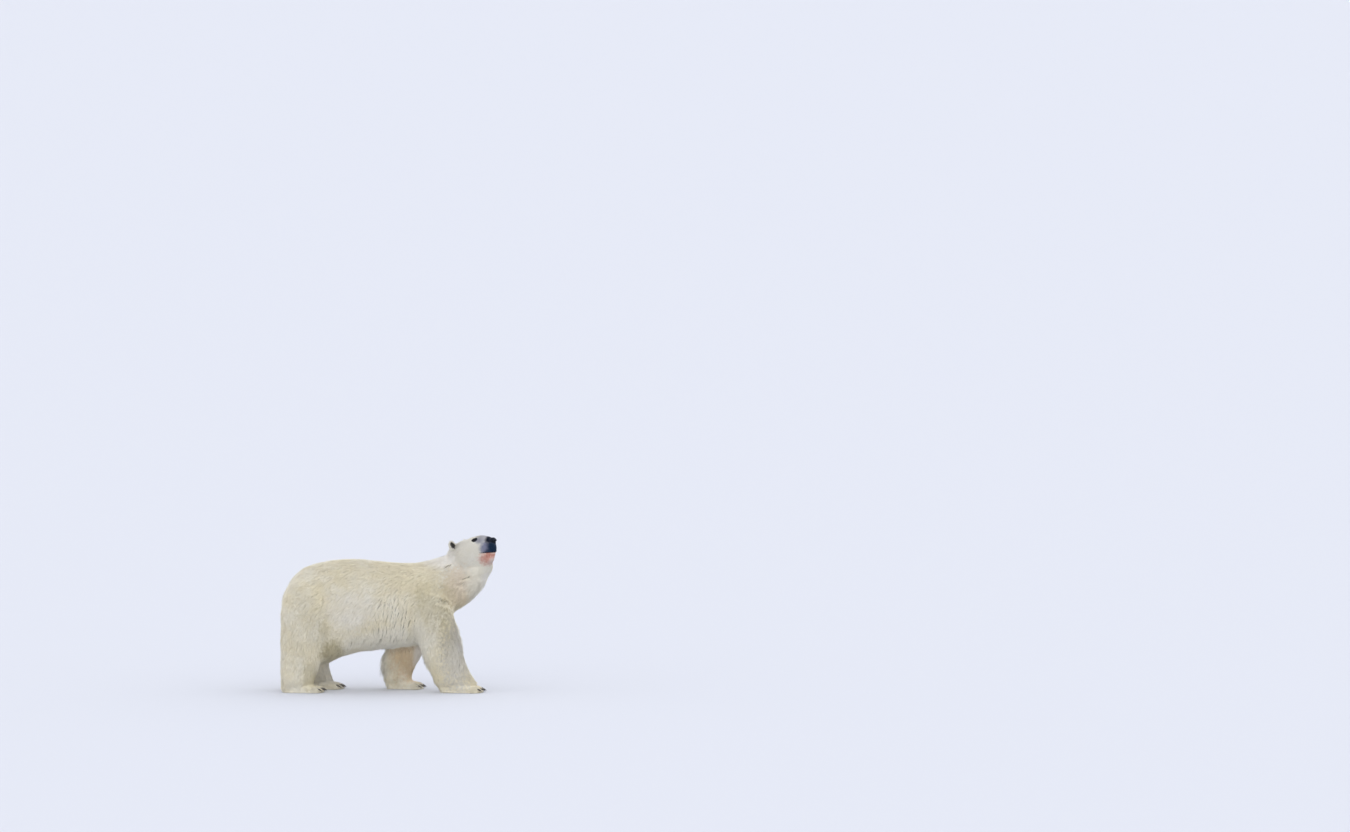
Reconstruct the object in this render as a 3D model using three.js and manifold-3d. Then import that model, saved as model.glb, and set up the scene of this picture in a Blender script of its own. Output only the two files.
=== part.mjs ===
// Polar bear, life size, standing mid-stride with its head raised and turned a little to its right.
// Frame: +X forward, +Z up, the bear's left is +Y. The soles stand at Z = 0.
// Sizes are millimetres and run out to the tips of the coat.
import * as THREE from 'three';
import { mergeVertices } from 'three/addons/utils/BufferGeometryUtils.js';
import Module from 'manifold-3d';

const wasm = await Module();
wasm.setup();

// ---- driving dimensions ----
const GAP = 0.3; // clearance left at every parting cut
const FAR = 4000; // side of a cutting block, larger than the bear
const ANKLE_HEIGHT = { fore: 128, hind: 122 };
const ELBOW_HEIGHT = { fore: 520, hind: 455 };
const HEAD_ORIGIN = new THREE.Vector3(863, -138, 1467); // middle of the brow
const HEAD_PITCH = THREE.MathUtils.degToRad(25); // muzzle raised
const HEAD_YAW = THREE.MathUtils.degToRad(31); // muzzle swung to the bear's right
const EYE = { radius: 14.5, s: -4.5, side: 51.5, z: -4 };
const NOSE = { s: 151, z: -76, length: 56, width: 82, height: 62, tilt: 0.3 };
const NOSTRIL = { s: 180, z: -80, side: 21, radii: [16, 8, 10] };
const CLAW = { length: 62, radius: 8.5, droop: 0.85 };
const TOES = 5;

// Torso and neck: each row gives the top and bottom of a section seen from the side,
// its half width, and how far the section is carried sideways by the turn of the neck.
const TORSO_SIDES = 20;
const TORSO = [
  { at: 'rump end', top: [-1004, 850], bottom: [-1006, 745], half: 60, turn: 0 },
  { at: 'tail root', top: [-992, 935], bottom: [-1000, 655], half: 150, turn: 0 },
  { at: 'rump', top: [-955, 1035], bottom: [-978, 575], half: 205, turn: 0 },
  { at: 'croup', top: [-885, 1128], bottom: [-930, 490], half: 248, turn: 0 },
  { at: 'hip', top: [-790, 1196], bottom: [-840, 405], half: 273, turn: 0 },
  { at: 'groin', top: [-675, 1236], bottom: [-715, 300], half: 289, turn: 0 },
  { at: 'flank fold', top: [-545, 1261], bottom: [-585, 272], half: 302, turn: 0 },
  { at: 'loin', top: [-400, 1274], bottom: [-435, 336], half: 316, turn: 0 },
  { at: 'belly', top: [-240, 1271], bottom: [-250, 386], half: 322, turn: 0 },
  { at: 'last rib', top: [-75, 1252], bottom: [-70, 409], half: 318, turn: 0 },
  { at: 'girth', top: [90, 1238], bottom: [115, 425], half: 308, turn: 0 },
  { at: 'elbow', top: [215, 1236], bottom: [300, 448], half: 296, turn: 0 },
  { at: 'withers', top: [320, 1246], bottom: [460, 510], half: 280, turn: 0 },
  { at: 'breast', top: [410, 1268], bottom: [590, 636], half: 262, turn: 0 },
  { at: 'neck root', top: [485, 1291], bottom: [648, 770], half: 246, turn: 0 },
  { at: 'low throat', top: [545, 1315], bottom: [740, 828], half: 230, turn: -6 },
  { at: 'mid throat', top: [598, 1340], bottom: [828, 900], half: 214, turn: -18 },
  { at: 'ruff', top: [650, 1362], bottom: [902, 983], half: 198, turn: -38 },
  { at: 'high throat', top: [700, 1376], bottom: [956, 1066], half: 178, turn: -62 },
  { at: 'jaw angle', top: [750, 1384], bottom: [992, 1136], half: 152, turn: -88 },
  { at: 'under jaw', top: [800, 1380], bottom: [1008, 1196], half: 118, turn: -112 },
  { at: 'neck end', top: [836, 1366], bottom: [1004, 1244], half: 78, turn: -130 },
];
const NECK_CUT = { x: 452, z: 1000, lean: 0.52 }; // plane that parts neck from trunk

// Head, in its own level frame: s runs forward from the eyes, z up.
const HEAD_SIDES = 20;
const HEAD = [
  { at: 'nape', s: -366, top: -20, bottom: -140, half: 74 },
  { at: 'occiput', s: -330, top: 30, bottom: -200, half: 118 },
  { at: 'behind ears', s: -282, top: 56, bottom: -240, half: 144 },
  { at: 'crown', s: -225, top: 64, bottom: -262, half: 154 },
  { at: 'cheek', s: -165, top: 60, bottom: -270, half: 155 },
  { at: 'temple', s: -105, top: 51, bottom: -270, half: 143 },
  { at: 'brow', s: -50, top: 47, bottom: -266, half: 123 },
  { at: 'eyes', s: -5, top: 39, bottom: -262, half: 103 },
  { at: 'stop', s: 35, top: 25, bottom: -252, half: 84 },
  { at: 'bridge', s: 72, top: 7, bottom: -238, half: 70 },
  { at: 'muzzle', s: 101, top: -12, bottom: -206, half: 62 },
  { at: 'nose root', s: 128, top: -29, bottom: -184, half: 54 },
  { at: 'lip', s: 145, top: -44, bottom: -168, half: 42 },
  { at: 'muzzle end', s: 153, top: -62, bottom: -148, half: 27 },
];
const MOUTH = [ // the lip line seen from the side, then round the back of the lower jaw
  [-46, -154], [15, -140], [48, -152], [80, -165], [116, -179], [260, -216],
  [260, -420], [-96, -420], [-80, -262],
];
const CHIN = [
  { at: 'jaw root', s: -70, top: -160, bottom: -272, half: 92 },
  { at: 'mid jaw', s: -10, top: -150, bottom: -276, half: 80 },
  { at: 'lip', s: 42, top: -158, bottom: -264, half: 62 },
  { at: 'chin', s: 74, top: -168, bottom: -244, half: 46 },
  { at: 'chin end', s: 87, top: -180, bottom: -222, half: 28 },
];

// Legs: rows down each leg give its back and front edges, its mid line and its half width.
const LEG_SIDES = 12;
const LEGS = {
  foreleg_right: {
    kind: 'fore', side: -1, paw: { heel: 478, toe: 912 },
    rows: [
      { z: 1150, back: 262, front: 360, mid: 118, half: 34 },
      { z: 1075, back: 205, front: 452, mid: 150, half: 82 },
      { z: 950, back: 170, front: 550, mid: 184, half: 111 },
      { z: 820, back: 182, front: 632, mid: 204, half: 122 },
      { z: 690, back: 226, front: 658, mid: 212, half: 122 },
      { z: 560, back: 264, front: 688, mid: 208, half: 113 },
      { z: 450, back: 302, front: 712, mid: 200, half: 105 },
      { z: 340, back: 340, front: 736, mid: 194, half: 100 },
      { z: 240, back: 382, front: 772, mid: 190, half: 98 },
      { z: 165, back: 414, front: 812, mid: 188, half: 98 },
      { z: 105, back: 436, front: 846, mid: 188, half: 98 },
      { z: 55, back: 470, front: 850, mid: 188, half: 84 },
      { z: 30, back: 520, front: 800, mid: 188, half: 60 },
    ],
  },
  foreleg_left: {
    kind: 'fore', side: 1, paw: { heel: -40, toe: 326 },
    rows: [
      { z: 1150, back: 232, front: 330, mid: 118, half: 34 },
      { z: 1075, back: 160, front: 410, mid: 150, half: 82 },
      { z: 950, back: 96, front: 462, mid: 184, half: 111 },
      { z: 820, back: 42, front: 484, mid: 204, half: 121 },
      { z: 690, back: 0, front: 466, mid: 210, half: 118 },
      { z: 560, back: -26, front: 426, mid: 206, half: 110 },
      { z: 450, back: -42, front: 378, mid: 200, half: 102 },
      { z: 340, back: -52, front: 322, mid: 196, half: 96 },
      { z: 240, back: -55, front: 266, mid: 194, half: 93 },
      { z: 165, back: -58, front: 230, mid: 194, half: 93 },
      { z: 105, back: -58, front: 216, mid: 194, half: 94 },
      { z: 55, back: -38, front: 230, mid: 194, half: 82 },
      { z: 30, back: 6, front: 195, mid: 194, half: 60 },
    ],
  },
  hindleg_right: {
    kind: 'hind', side: -1, paw: { heel: -1030, toe: -618 },
    rows: [
      { z: 1118, back: -832, front: -700, mid: 100, half: 34 },
      { z: 1050, back: -925, front: -628, mid: 138, half: 88 },
      { z: 940, back: -994, front: -558, mid: 172, half: 124 },
      { z: 810, back: -1028, front: -530, mid: 190, half: 142 },
      { z: 680, back: -1034, front: -540, mid: 194, half: 138 },
      { z: 570, back: -1036, front: -578, mid: 192, half: 128 },
      { z: 470, back: -1036, front: -622, mid: 188, half: 117 },
      { z: 370, back: -1037, front: -634, mid: 185, half: 108 },
      { z: 280, back: -1037, front: -642, mid: 183, half: 102 },
      { z: 190, back: -1037, front: -678, mid: 182, half: 99 },
      { z: 110, back: -1034, front: -712, mid: 182, half: 98 },
      { z: 55, back: -1018, front: -716, mid: 182, half: 84 },
      { z: 30, back: -980, front: -760, mid: 182, half: 60 },
    ],
  },
  hindleg_left: {
    kind: 'hind', side: 1, paw: { heel: -842, toe: -446 },
    rows: [
      { z: 1118, back: -832, front: -700, mid: 100, half: 34 },
      { z: 1050, back: -925, front: -628, mid: 138, half: 88 },
      { z: 940, back: -994, front: -558, mid: 172, half: 124 },
      { z: 810, back: -1008, front: -496, mid: 190, half: 142 },
      { z: 680, back: -992, front: -476, mid: 194, half: 138 },
      { z: 570, back: -960, front: -482, mid: 192, half: 128 },
      { z: 470, back: -922, front: -500, mid: 188, half: 116 },
      { z: 370, back: -884, front: -536, mid: 185, half: 107 },
      { z: 280, back: -864, front: -574, mid: 183, half: 101 },
      { z: 190, back: -856, front: -568, mid: 182, half: 98 },
      { z: 110, back: -852, front: -545, mid: 182, half: 97 },
      { z: 55, back: -828, front: -548, mid: 182, half: 84 },
      { z: 30, back: -790, front: -590, mid: 182, half: 60 },
    ],
  },
};
const PAW = {
  fore: { width: 238, height: 126, toeRadius: 27, toeLength: 66, toeHeight: 38 },
  hind: { width: 218, height: 118, toeRadius: 25, toeLength: 62, toeHeight: 36 },
};
const EAR = {
  s: -222, side: 111, z: 31, half: [24, 42, 55], hollow: 0.74, toe: 0.2, splay: 0.3, lean: 0.2,
};
const TAIL = [
  { x: -920, z: 1030, half: 26, thick: 14 },
  { x: -962, z: 985, half: 38, thick: 24 },
  { x: -992, z: 925, half: 40, thick: 27 },
  { x: -1004, z: 860, half: 32, thick: 23 },
  { x: -1004, z: 818, half: 14, thick: 10 },
];

// ---- finishes ----
const fur = new THREE.MeshStandardMaterial({ color: 0xd0c9b8, roughness: 0.95, metalness: 0 });
const paleFur = new THREE.MeshStandardMaterial({ color: 0xd8d6cf, roughness: 0.95, metalness: 0 });
const leather = new THREE.MeshStandardMaterial({ color: 0x1c2230, roughness: 0.45, metalness: 0 });
const eyeGloss = new THREE.MeshStandardMaterial({ color: 0x17120f, roughness: 0.08, metalness: 0 });
const horn = new THREE.MeshStandardMaterial({ color: 0x2b2622, roughness: 0.35, metalness: 0 });

// ---- solids ----
function manifoldOf(geometry) {
  const bare = geometry.clone();
  bare.deleteAttribute('normal');
  bare.deleteAttribute('uv');
  const merged = mergeVertices(bare, 1e-4);
  const vertProperties = new Float32Array(merged.attributes.position.array);
  const triVerts = new Uint32Array(merged.index.array);
  return new wasm.Manifold(new wasm.Mesh({ numProp: 3, vertProperties, triVerts }));
}

function meshOf(name, solid, material) {
  const { vertProperties, triVerts, numProp } = solid.getMesh();
  const geometry = new THREE.BufferGeometry();
  const points = new Float32Array((vertProperties.length / numProp) * 3);
  for (let i = 0; i < points.length / 3; i += 1) {
    for (let k = 0; k < 3; k += 1) points[i * 3 + k] = vertProperties[i * numProp + k];
  }
  geometry.setAttribute('position', new THREE.BufferAttribute(points, 3));
  geometry.setIndex(new THREE.BufferAttribute(new Uint32Array(triVerts), 1));
  geometry.computeVertexNormals();
  const mesh = new THREE.Mesh(geometry, material.clone());
  mesh.name = name;
  return mesh;
}

// A closed skin over a run of rings with the same number of points, capped flat at both ends.
function loft(rings) {
  const sides = rings[0].length;
  const points = rings.flat();
  const faces = [];
  for (let r = 0; r < rings.length - 1; r += 1) {
    for (let i = 0; i < sides; i += 1) {
      const a = r * sides + i;
      const b = r * sides + ((i + 1) % sides);
      faces.push(a, b, b + sides, a, b + sides, a + sides);
    }
  }
  [0, rings.length - 1].forEach((r, end) => {
    const centre = rings[r].reduce((sum, p) => sum.add(p), new THREE.Vector3());
    points.push(centre.divideScalar(sides));
    const hub = points.length - 1;
    for (let i = 0; i < sides; i += 1) {
      const a = r * sides + i;
      const b = r * sides + ((i + 1) % sides);
      faces.push(...(end ? [a, b, hub] : [b, a, hub]));
    }
  });
  const geometry = new THREE.BufferGeometry();
  const flat = points.flatMap((p) => [p.x, p.y, p.z]);
  geometry.setAttribute('position', new THREE.Float32BufferAttribute(flat, 3));
  geometry.setIndex(faces);
  const solid = manifoldOf(geometry);
  if (solid.volume() > 0) return solid;
  for (let i = 0; i < faces.length; i += 3) faces.splice(i, 3, faces[i], faces[i + 2], faces[i + 1]);
  geometry.setIndex(faces);
  return manifoldOf(geometry);
}

const power = (value, exponent) => Math.sign(value) * Math.abs(value) ** exponent;

// One section between a top and a bottom point: rounded square below, rounder above,
// widest a little under its middle.
function section({ top, bottom, half, shift = 0, sides, grow = 0, sag = 0.14, fullness = 0.92 }) {
  const ring = [];
  const centre = top.clone().add(bottom).multiplyScalar(0.5);
  const rise = top.clone().sub(bottom).multiplyScalar(0.5);
  rise.setLength(rise.length() + grow);
  for (let i = 0; i < sides; i += 1) {
    const angle = ((i + 0.5) / sides) * 2 * Math.PI;
    const up = power(Math.sin(angle), fullness);
    const out = power(Math.cos(angle), fullness) * (half + grow);
    const level = up - sag * (1 - up * up);
    ring.push(centre.clone().addScaledVector(rise, level).add(new THREE.Vector3(0, out + shift, 0)));
  }
  return ring;
}

function torsoSolid() {
  return loft(TORSO.map(({ top, bottom, half, turn }) => section({
    top: new THREE.Vector3(top[0], 0, top[1]),
    bottom: new THREE.Vector3(bottom[0], 0, bottom[1]),
    half,
    shift: turn,
    sides: TORSO_SIDES,
  })));
}

// How far the first and last ring of a grown loft move along its length.
const endShift = (r, rows, grow) => (r === rows.length - 1) * grow - (r === 0) * grow;

function headLoft(rows, grow) {
  return loft(rows.map(({ s, top, bottom, half }, r) => section({
    top: new THREE.Vector3(s + endShift(r, rows, grow), 0, top),
    bottom: new THREE.Vector3(s + endShift(r, rows, grow), 0, bottom),
    half,
    sides: HEAD_SIDES,
    grow,
    sag: 0.2,
  })));
}

// A flat outline in the side view, carried right through the head from side to side.
function sidePrism(outline, grow) {
  const points = outline.map(([s, z]) => new THREE.Vector2(s, z));
  const middle = points.reduce((m, p) => m.add(p), new THREE.Vector2()).divideScalar(points.length);
  const shape = new THREE.Shape(points.map((p) => {
    const away = p.clone().sub(middle).normalize().multiplyScalar(grow);
    return p.clone().add(away);
  }));
  const prism = new THREE.ExtrudeGeometry(shape, { depth: 600, bevelEnabled: false });
  prism.translate(0, 0, -300);
  prism.rotateX(Math.PI / 2);
  return manifoldOf(prism);
}

function ellipsoid(radii, place, turn = new THREE.Euler(), detail = [16, 10]) {
  const ball = new THREE.SphereGeometry(1, detail[0], detail[1]);
  const matrix = new THREE.Matrix4().compose(
    place,
    new THREE.Quaternion().setFromEuler(turn),
    new THREE.Vector3(...radii),
  );
  ball.applyMatrix4(matrix);
  return manifoldOf(ball);
}

function block(x, y, z) {
  const box = new THREE.BoxGeometry(x[1] - x[0], y[1] - y[0], z[1] - z[0]);
  box.translate((x[0] + x[1]) / 2, (y[0] + y[1]) / 2, (z[0] + z[1]) / 2);
  return manifoldOf(box);
}

// A head-frame point or solid set in the bear: pitched up, swung right, carried to its place.
const headMatrix = new THREE.Matrix4()
  .makeTranslation(HEAD_ORIGIN)
  .multiply(new THREE.Matrix4().makeRotationZ(-HEAD_YAW))
  .multiply(new THREE.Matrix4().makeRotationY(-HEAD_PITCH));
const placeOnBody = (solid) => solid.transform(headMatrix.elements);

// ---- head ----
const wholeHead = (grow) => headLoft(HEAD, grow).add(headLoft(CHIN, grow));

function earSolid(side) {
  const turn = new THREE.Euler(side * -EAR.splay, -EAR.lean, side * EAR.toe);
  const place = new THREE.Vector3(EAR.s, side * EAR.side, EAR.z);
  const shell = ellipsoid(EAR.half, place, turn, [10, 7]);
  const inner = EAR.half.map((r) => r * EAR.hollow);
  const mouth = new THREE.Vector3(EAR.half[0] * 0.85, 0, 4).applyEuler(turn).add(place);
  return shell.subtract(ellipsoid(inner, mouth, turn, [10, 7])).subtract(wholeHead(GAP));
}

function noseSolid(grow) {
  const place = new THREE.Vector3(NOSE.s, 0, NOSE.z);
  const radii = [NOSE.length, NOSE.width, NOSE.height].map((size) => size / 2 + grow);
  return ellipsoid(radii, place, new THREE.Euler(0, NOSE.tilt, 0), [14, 8]);
}

function nostrils() {
  return [-1, 1].map((side) => ellipsoid(
    NOSTRIL.radii,
    new THREE.Vector3(NOSTRIL.s, side * NOSTRIL.side, NOSTRIL.z),
    new THREE.Euler(0, NOSE.tilt, side * 0.5),
    [8, 6],
  )).reduce((a, b) => a.add(b));
}

function eyeSolid(side, grow) {
  const place = new THREE.Vector3(EYE.s, side * EYE.side, EYE.z);
  return ellipsoid(Array(3).fill(EYE.radius + grow), place, new THREE.Euler(), [10, 7]);
}

// ---- legs and paws ----
function legLoft({ rows, side }, grow) {
  return loft(rows.map(({ z, back, front, mid, half }, r) => {
    return Array.from({ length: LEG_SIDES }, (_, i) => {
      const angle = (i / LEG_SIDES) * 2 * Math.PI;
      const x = (back + front) / 2 + power(Math.cos(angle), 0.88) * ((front - back) / 2 + grow);
      const y = side * mid + power(Math.sin(angle), 0.88) * (half + grow);
      return new THREE.Vector3(x, y, z - endShift(r, rows, grow));
    });
  }));
}

function pawRows({ kind, paw }) {
  const size = PAW[kind];
  const length = paw.toe - paw.heel - size.toeLength * 0.85;
  return [
    { x: 0, low: 0.34, tall: 0.62, wide: 0.3 },
    { x: 0.07, low: 0.06, tall: 0.84, wide: 0.54 },
    { x: 0.18, low: -0.24, tall: 1, wide: 0.68 },
    { x: 0.4, low: -0.24, tall: 1.14, wide: 0.82 },
    { x: 0.62, low: -0.24, tall: 1.04, wide: 0.93 },
    { x: 0.8, low: -0.24, tall: 0.8, wide: 0.98 },
    { x: 0.93, low: -0.24, tall: 0.58, wide: 0.93 },
    { x: 1, low: -0.1, tall: 0.4, wide: 0.8 },
  ].map((r) => ({
    x: paw.heel + r.x * length,
    low: r.low * size.height,
    tall: r.tall * size.height,
    half: (r.wide * size.width) / 2,
  }));
}

// Middle toes reach furthest; the outer ones sit back round the front of the foot.
function toePlaces(leg) {
  const size = PAW[leg.kind];
  const mid = leg.side * leg.rows[leg.rows.length - 1].mid;
  return Array.from({ length: TOES }, (_, i) => {
    const across = (i - (TOES - 1) / 2) / ((TOES - 1) / 2);
    const x = leg.paw.toe - size.toeLength - across * across * 40;
    return { x, y: mid + across * (size.width / 2 - size.toeRadius * 0.8), fan: across * 0.22 };
  });
}

function pawSolid(leg) {
  const size = PAW[leg.kind];
  const mid = leg.side * leg.rows[leg.rows.length - 1].mid;
  const rings = pawRows(leg).map(({ x, low, tall, half }) => section({
    top: new THREE.Vector3(x, 0, tall),
    bottom: new THREE.Vector3(x, 0, low),
    half,
    shift: mid,
    sides: 10,
    sag: 0.25,
  }));
  return toePlaces(leg).reduce((paw, toe) => paw.add(ellipsoid(
    [size.toeLength, size.toeRadius, size.toeHeight],
    new THREE.Vector3(toe.x, toe.y, size.toeHeight * 0.8),
    new THREE.Euler(0, 0, toe.fan),
    [7, 5],
  )), loft(rings));
}

// A claw leaves the top of its toe, bends forward and down, and ends in a blunt point.
function clawSolid(leg, toe, grow) {
  const size = PAW[leg.kind];
  const reach = CLAW.length + grow;
  const tipX = toe.x + size.toeLength;
  const rings = [-0.25, 0.2, 0.65, 1].map((t) => {
    const radius = CLAW.radius * (1.1 - Math.max(t, 0) ** 2) + grow;
    const bend = CLAW.droop * Math.max(t, 0);
    const along = new THREE.Vector3(Math.cos(bend), 0, -Math.sin(bend));
    const centre = new THREE.Vector3(
      tipX - 22 + (Math.sin(bend) / CLAW.droop) * reach + Math.min(t, 0) * 26,
      0,
      40 - ((1 - Math.cos(bend)) / CLAW.droop) * reach,
    );
    const upward = new THREE.Vector3(along.z, 0, -along.x).negate();
    return Array.from({ length: 6 }, (_, i) => {
      const angle = (i / 6) * 2 * Math.PI;
      return centre.clone()
        .addScaledVector(upward, Math.cos(angle) * radius * 1.15)
        .add(new THREE.Vector3(0, Math.sin(angle) * radius * 0.8, 0));
    });
  });
  const turn = new THREE.Matrix4().makeTranslation(toe.x, toe.y, 0)
    .multiply(new THREE.Matrix4().makeRotationZ(toe.fan))
    .multiply(new THREE.Matrix4().makeTranslation(-toe.x, 0, 0));
  return loft(rings).transform(turn.elements);
}

// ---- tail ----
function tailSolid(grow) {
  return loft(TAIL.map(({ x, z, half, thick }, r) => {
    const next = TAIL[Math.min(r + 1, TAIL.length - 1)];
    const before = TAIL[Math.max(r - 1, 0)];
    const along = new THREE.Vector3(next.x - before.x, 0, next.z - before.z).normalize();
    const outward = new THREE.Vector3(along.z, 0, -along.x);
    return Array.from({ length: 10 }, (_, i) => {
      const angle = (i / 10) * 2 * Math.PI;
      return new THREE.Vector3(x, Math.sin(angle) * (half + grow), z)
        .addScaledVector(outward, Math.cos(angle) * (thick + grow))
        .addScaledVector(along, endShift(r, TAIL, grow));
    });
  }));
}

// ---- assembly ----
const bear = new THREE.Group();
const legs = Object.entries(LEGS);
const allLegsGrown = legs.map(([, leg]) => legLoft(leg, GAP)).reduce((a, b) => a.add(b));

const ahead = new THREE.BoxGeometry(FAR, FAR, FAR);
ahead.translate(FAR / 2, 0, 0);
const neckCutPlace = (shift) => new THREE.Matrix4()
  .makeTranslation(NECK_CUT.x + shift, 0, NECK_CUT.z)
  .multiply(new THREE.Matrix4().makeRotationY(NECK_CUT.lean * -1));
const aheadOfNeckCut = (shift) => manifoldOf(ahead.clone().applyMatrix4(neckCutPlace(shift)));

const torso = torsoSolid();
const trunk = torso
  .subtract(aheadOfNeckCut(0))
  .subtract(allLegsGrown)
  .subtract(tailSolid(GAP));
const neck = torso
  .intersect(aheadOfNeckCut(GAP))
  .subtract(allLegsGrown)
  .subtract(placeOnBody(wholeHead(GAP)));
bear.add(meshOf('trunk', trunk, fur));
bear.add(meshOf('neck', neck, paleFur));
bear.add(meshOf('tail', tailSolid(0), fur));

const sockets = [-1, 1].map((side) => eyeSolid(side, GAP)).reduce((a, b) => a.add(b));
const shapedHead = wholeHead(0).subtract(noseSolid(GAP)).subtract(sockets);
bear.add(meshOf('head', placeOnBody(shapedHead.subtract(sidePrism(MOUTH, GAP * 2))), paleFur));
bear.add(meshOf('lower_jaw', placeOnBody(shapedHead.intersect(sidePrism(MOUTH, 0))), paleFur));
bear.add(meshOf('nose', placeOnBody(noseSolid(0).subtract(nostrils())), leather));
for (const [name, side] of [['right', -1], ['left', 1]]) {
  bear.add(meshOf(`eye_${name}`, placeOnBody(eyeSolid(side, 0)), eyeGloss));
  bear.add(meshOf(`ear_${name}`, placeOnBody(earSolid(side)), paleFur));
}

for (const [name, leg] of legs) {
  const whole = legLoft(leg, 0).add(pawSolid(leg));
  const ankle = ANKLE_HEIGHT[leg.kind];
  const elbow = ELBOW_HEIGHT[leg.kind];
  const across = [-FAR, FAR];
  const claws = toePlaces(leg);
  const holes = claws.map((toe) => clawSolid(leg, toe, GAP)).reduce((a, b) => a.add(b));
  const parts = {
    upper: whole.intersect(block(across, across, [elbow + GAP, FAR])),
    lower: whole.intersect(block(across, across, [ankle + GAP, elbow])),
    paw: whole.intersect(block(across, across, [0, ankle])).subtract(holes),
  };
  for (const [part, solid] of Object.entries(parts)) bear.add(meshOf(`${name}_${part}`, solid, fur));
  claws.forEach((toe, i) => {
    bear.add(meshOf(`claw_${name}_${i + 1}`, clawSolid(leg, toe, 0), horn));
  });
}

// The origin goes to the middle of the standing box, on the floor.
const box = new THREE.Box3().setFromObject(bear);
const middle = box.getCenter(new THREE.Vector3());
bear.position.set(-middle.x, -middle.y, 0);

export default bear;
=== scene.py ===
import math

import bpy
import numpy as np
from mathutils import Matrix, Vector, kdtree


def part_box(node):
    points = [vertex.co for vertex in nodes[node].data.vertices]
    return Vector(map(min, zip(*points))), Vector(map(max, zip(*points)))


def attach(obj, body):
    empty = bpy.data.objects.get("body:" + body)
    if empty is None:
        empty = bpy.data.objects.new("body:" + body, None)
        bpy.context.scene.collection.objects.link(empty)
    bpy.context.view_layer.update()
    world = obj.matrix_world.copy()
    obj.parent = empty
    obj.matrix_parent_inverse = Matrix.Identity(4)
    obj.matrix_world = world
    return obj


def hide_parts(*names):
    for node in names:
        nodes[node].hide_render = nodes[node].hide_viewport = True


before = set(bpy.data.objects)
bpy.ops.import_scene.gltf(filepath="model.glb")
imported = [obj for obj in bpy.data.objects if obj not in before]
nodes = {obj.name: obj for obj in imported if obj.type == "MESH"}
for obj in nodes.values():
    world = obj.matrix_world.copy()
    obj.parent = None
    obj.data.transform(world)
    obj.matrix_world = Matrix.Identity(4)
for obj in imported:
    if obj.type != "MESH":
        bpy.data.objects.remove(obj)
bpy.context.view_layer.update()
print("stage: frame loaded,", len(nodes), "nodes")


def linear(hexColour):  # sRGB hex to linear RGBA
    parts = [int(hexColour[i:i + 2], 16) / 255 for i in (1, 3, 5)]
    return [p / 12.92 if p <= 0.04045 else ((p + 0.055) / 1.055) ** 2.4 for p in parts] + [1.0]


def soft(low, high, x):  # smooth step from 0 at low to 1 at high, either way round
    t = np.clip((x - low) / (high - low), 0, 1)
    return t * t * (3 - 2 * t)


def unit(v):
    return v / np.maximum(np.linalg.norm(v, axis=-1, keepdims=True), 1e-9)


def wobble(points, size, seed):  # gentle seeded waves about one size long, from -1 to 1
    rng = np.random.default_rng(seed)
    total = np.zeros(len(points))
    for _ in range(6):
        wave = unit(rng.normal(size=3)) * 2 * math.pi / (size * rng.uniform(0.7, 1.4))
        total += np.sin(points @ wave + rng.uniform(0, 2 * math.pi))
    return total / 3.5


def readRows(items, key, width=3, kind=float):  # one row of numbers for each item
    flat = np.empty(len(items) * width, kind)
    items.foreach_get(key, flat)
    return flat.reshape(-1, width)


def readPoints(mesh):
    return readRows(mesh.vertices, "co")


def readNormals(mesh):
    return readRows(mesh.vertex_normals, "vector")


def writePoints(mesh, points):
    mesh.vertices.foreach_set("co", points.astype(np.float32).ravel())
    mesh.update()


def evened(mesh, values, rounds, share):  # each value drifts towards its neighbours' mean
    edges, count = readRows(mesh.edges, "vertices", 2, np.int64), len(values)
    a, b = edges[:, 0], edges[:, 1]
    degree = np.bincount(edges.ravel(), minlength=count)[:, None]
    share = np.broadcast_to(np.asarray(share, float).reshape(-1, 1), (count, 1))
    for _ in range(rounds):
        near = np.stack([np.bincount(a, values[b, k], count) + np.bincount(b, values[a, k], count)
                         for k in range(values.shape[1])], axis=1) / degree
        values = values + share * (near - values)
    return values


def smoothPoints(mesh, rounds, share, giveBack=0):  # giveBack: rounds that even the lost bulk, then put back
    before = readPoints(mesh)
    writePoints(mesh, evened(mesh, before, rounds, share))
    if giveBack:
        after, normals = readPoints(mesh), readNormals(mesh)
        lost = ((before - after) * normals).sum(1)[:, None]
        writePoints(mesh, after + normals * evened(mesh, lost, giveBack, 0.5))


def readAttribute(mesh, name):
    return readRows(mesh.attributes[name].data, "value", 1, np.float32)[:, 0].astype(float)


def setAttribute(mesh, name, values):
    attribute = mesh.attributes.get(name) or mesh.attributes.new(name, "FLOAT", "POINT")
    attribute.data.foreach_set("value", np.asarray(values, np.float32))


def only(piece):  # makes this the one selected and active object
    bpy.ops.object.select_all(action="DESELECT")
    piece.select_set(True)
    bpy.context.view_layer.objects.active = piece


def copyOf(names, pieceName):  # merged copies of CAD nodes, joined in one new object
    bpy.ops.object.select_all(action="DESELECT")
    for name in names:
        twin = bpy.data.objects.new(pieceName, nodes[name].data.copy())
        bpy.context.scene.collection.objects.link(twin)
        twin.select_set(True)
        bpy.context.view_layer.objects.active = twin
    bpy.ops.object.join()
    piece = bpy.context.view_layer.objects.active
    piece.name = pieceName
    bpy.ops.object.mode_set(mode="EDIT")
    bpy.ops.mesh.select_all(action="SELECT")
    bpy.ops.mesh.remove_doubles(threshold=0.0001)
    bpy.ops.object.mode_set(mode="OBJECT")
    return piece


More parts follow.
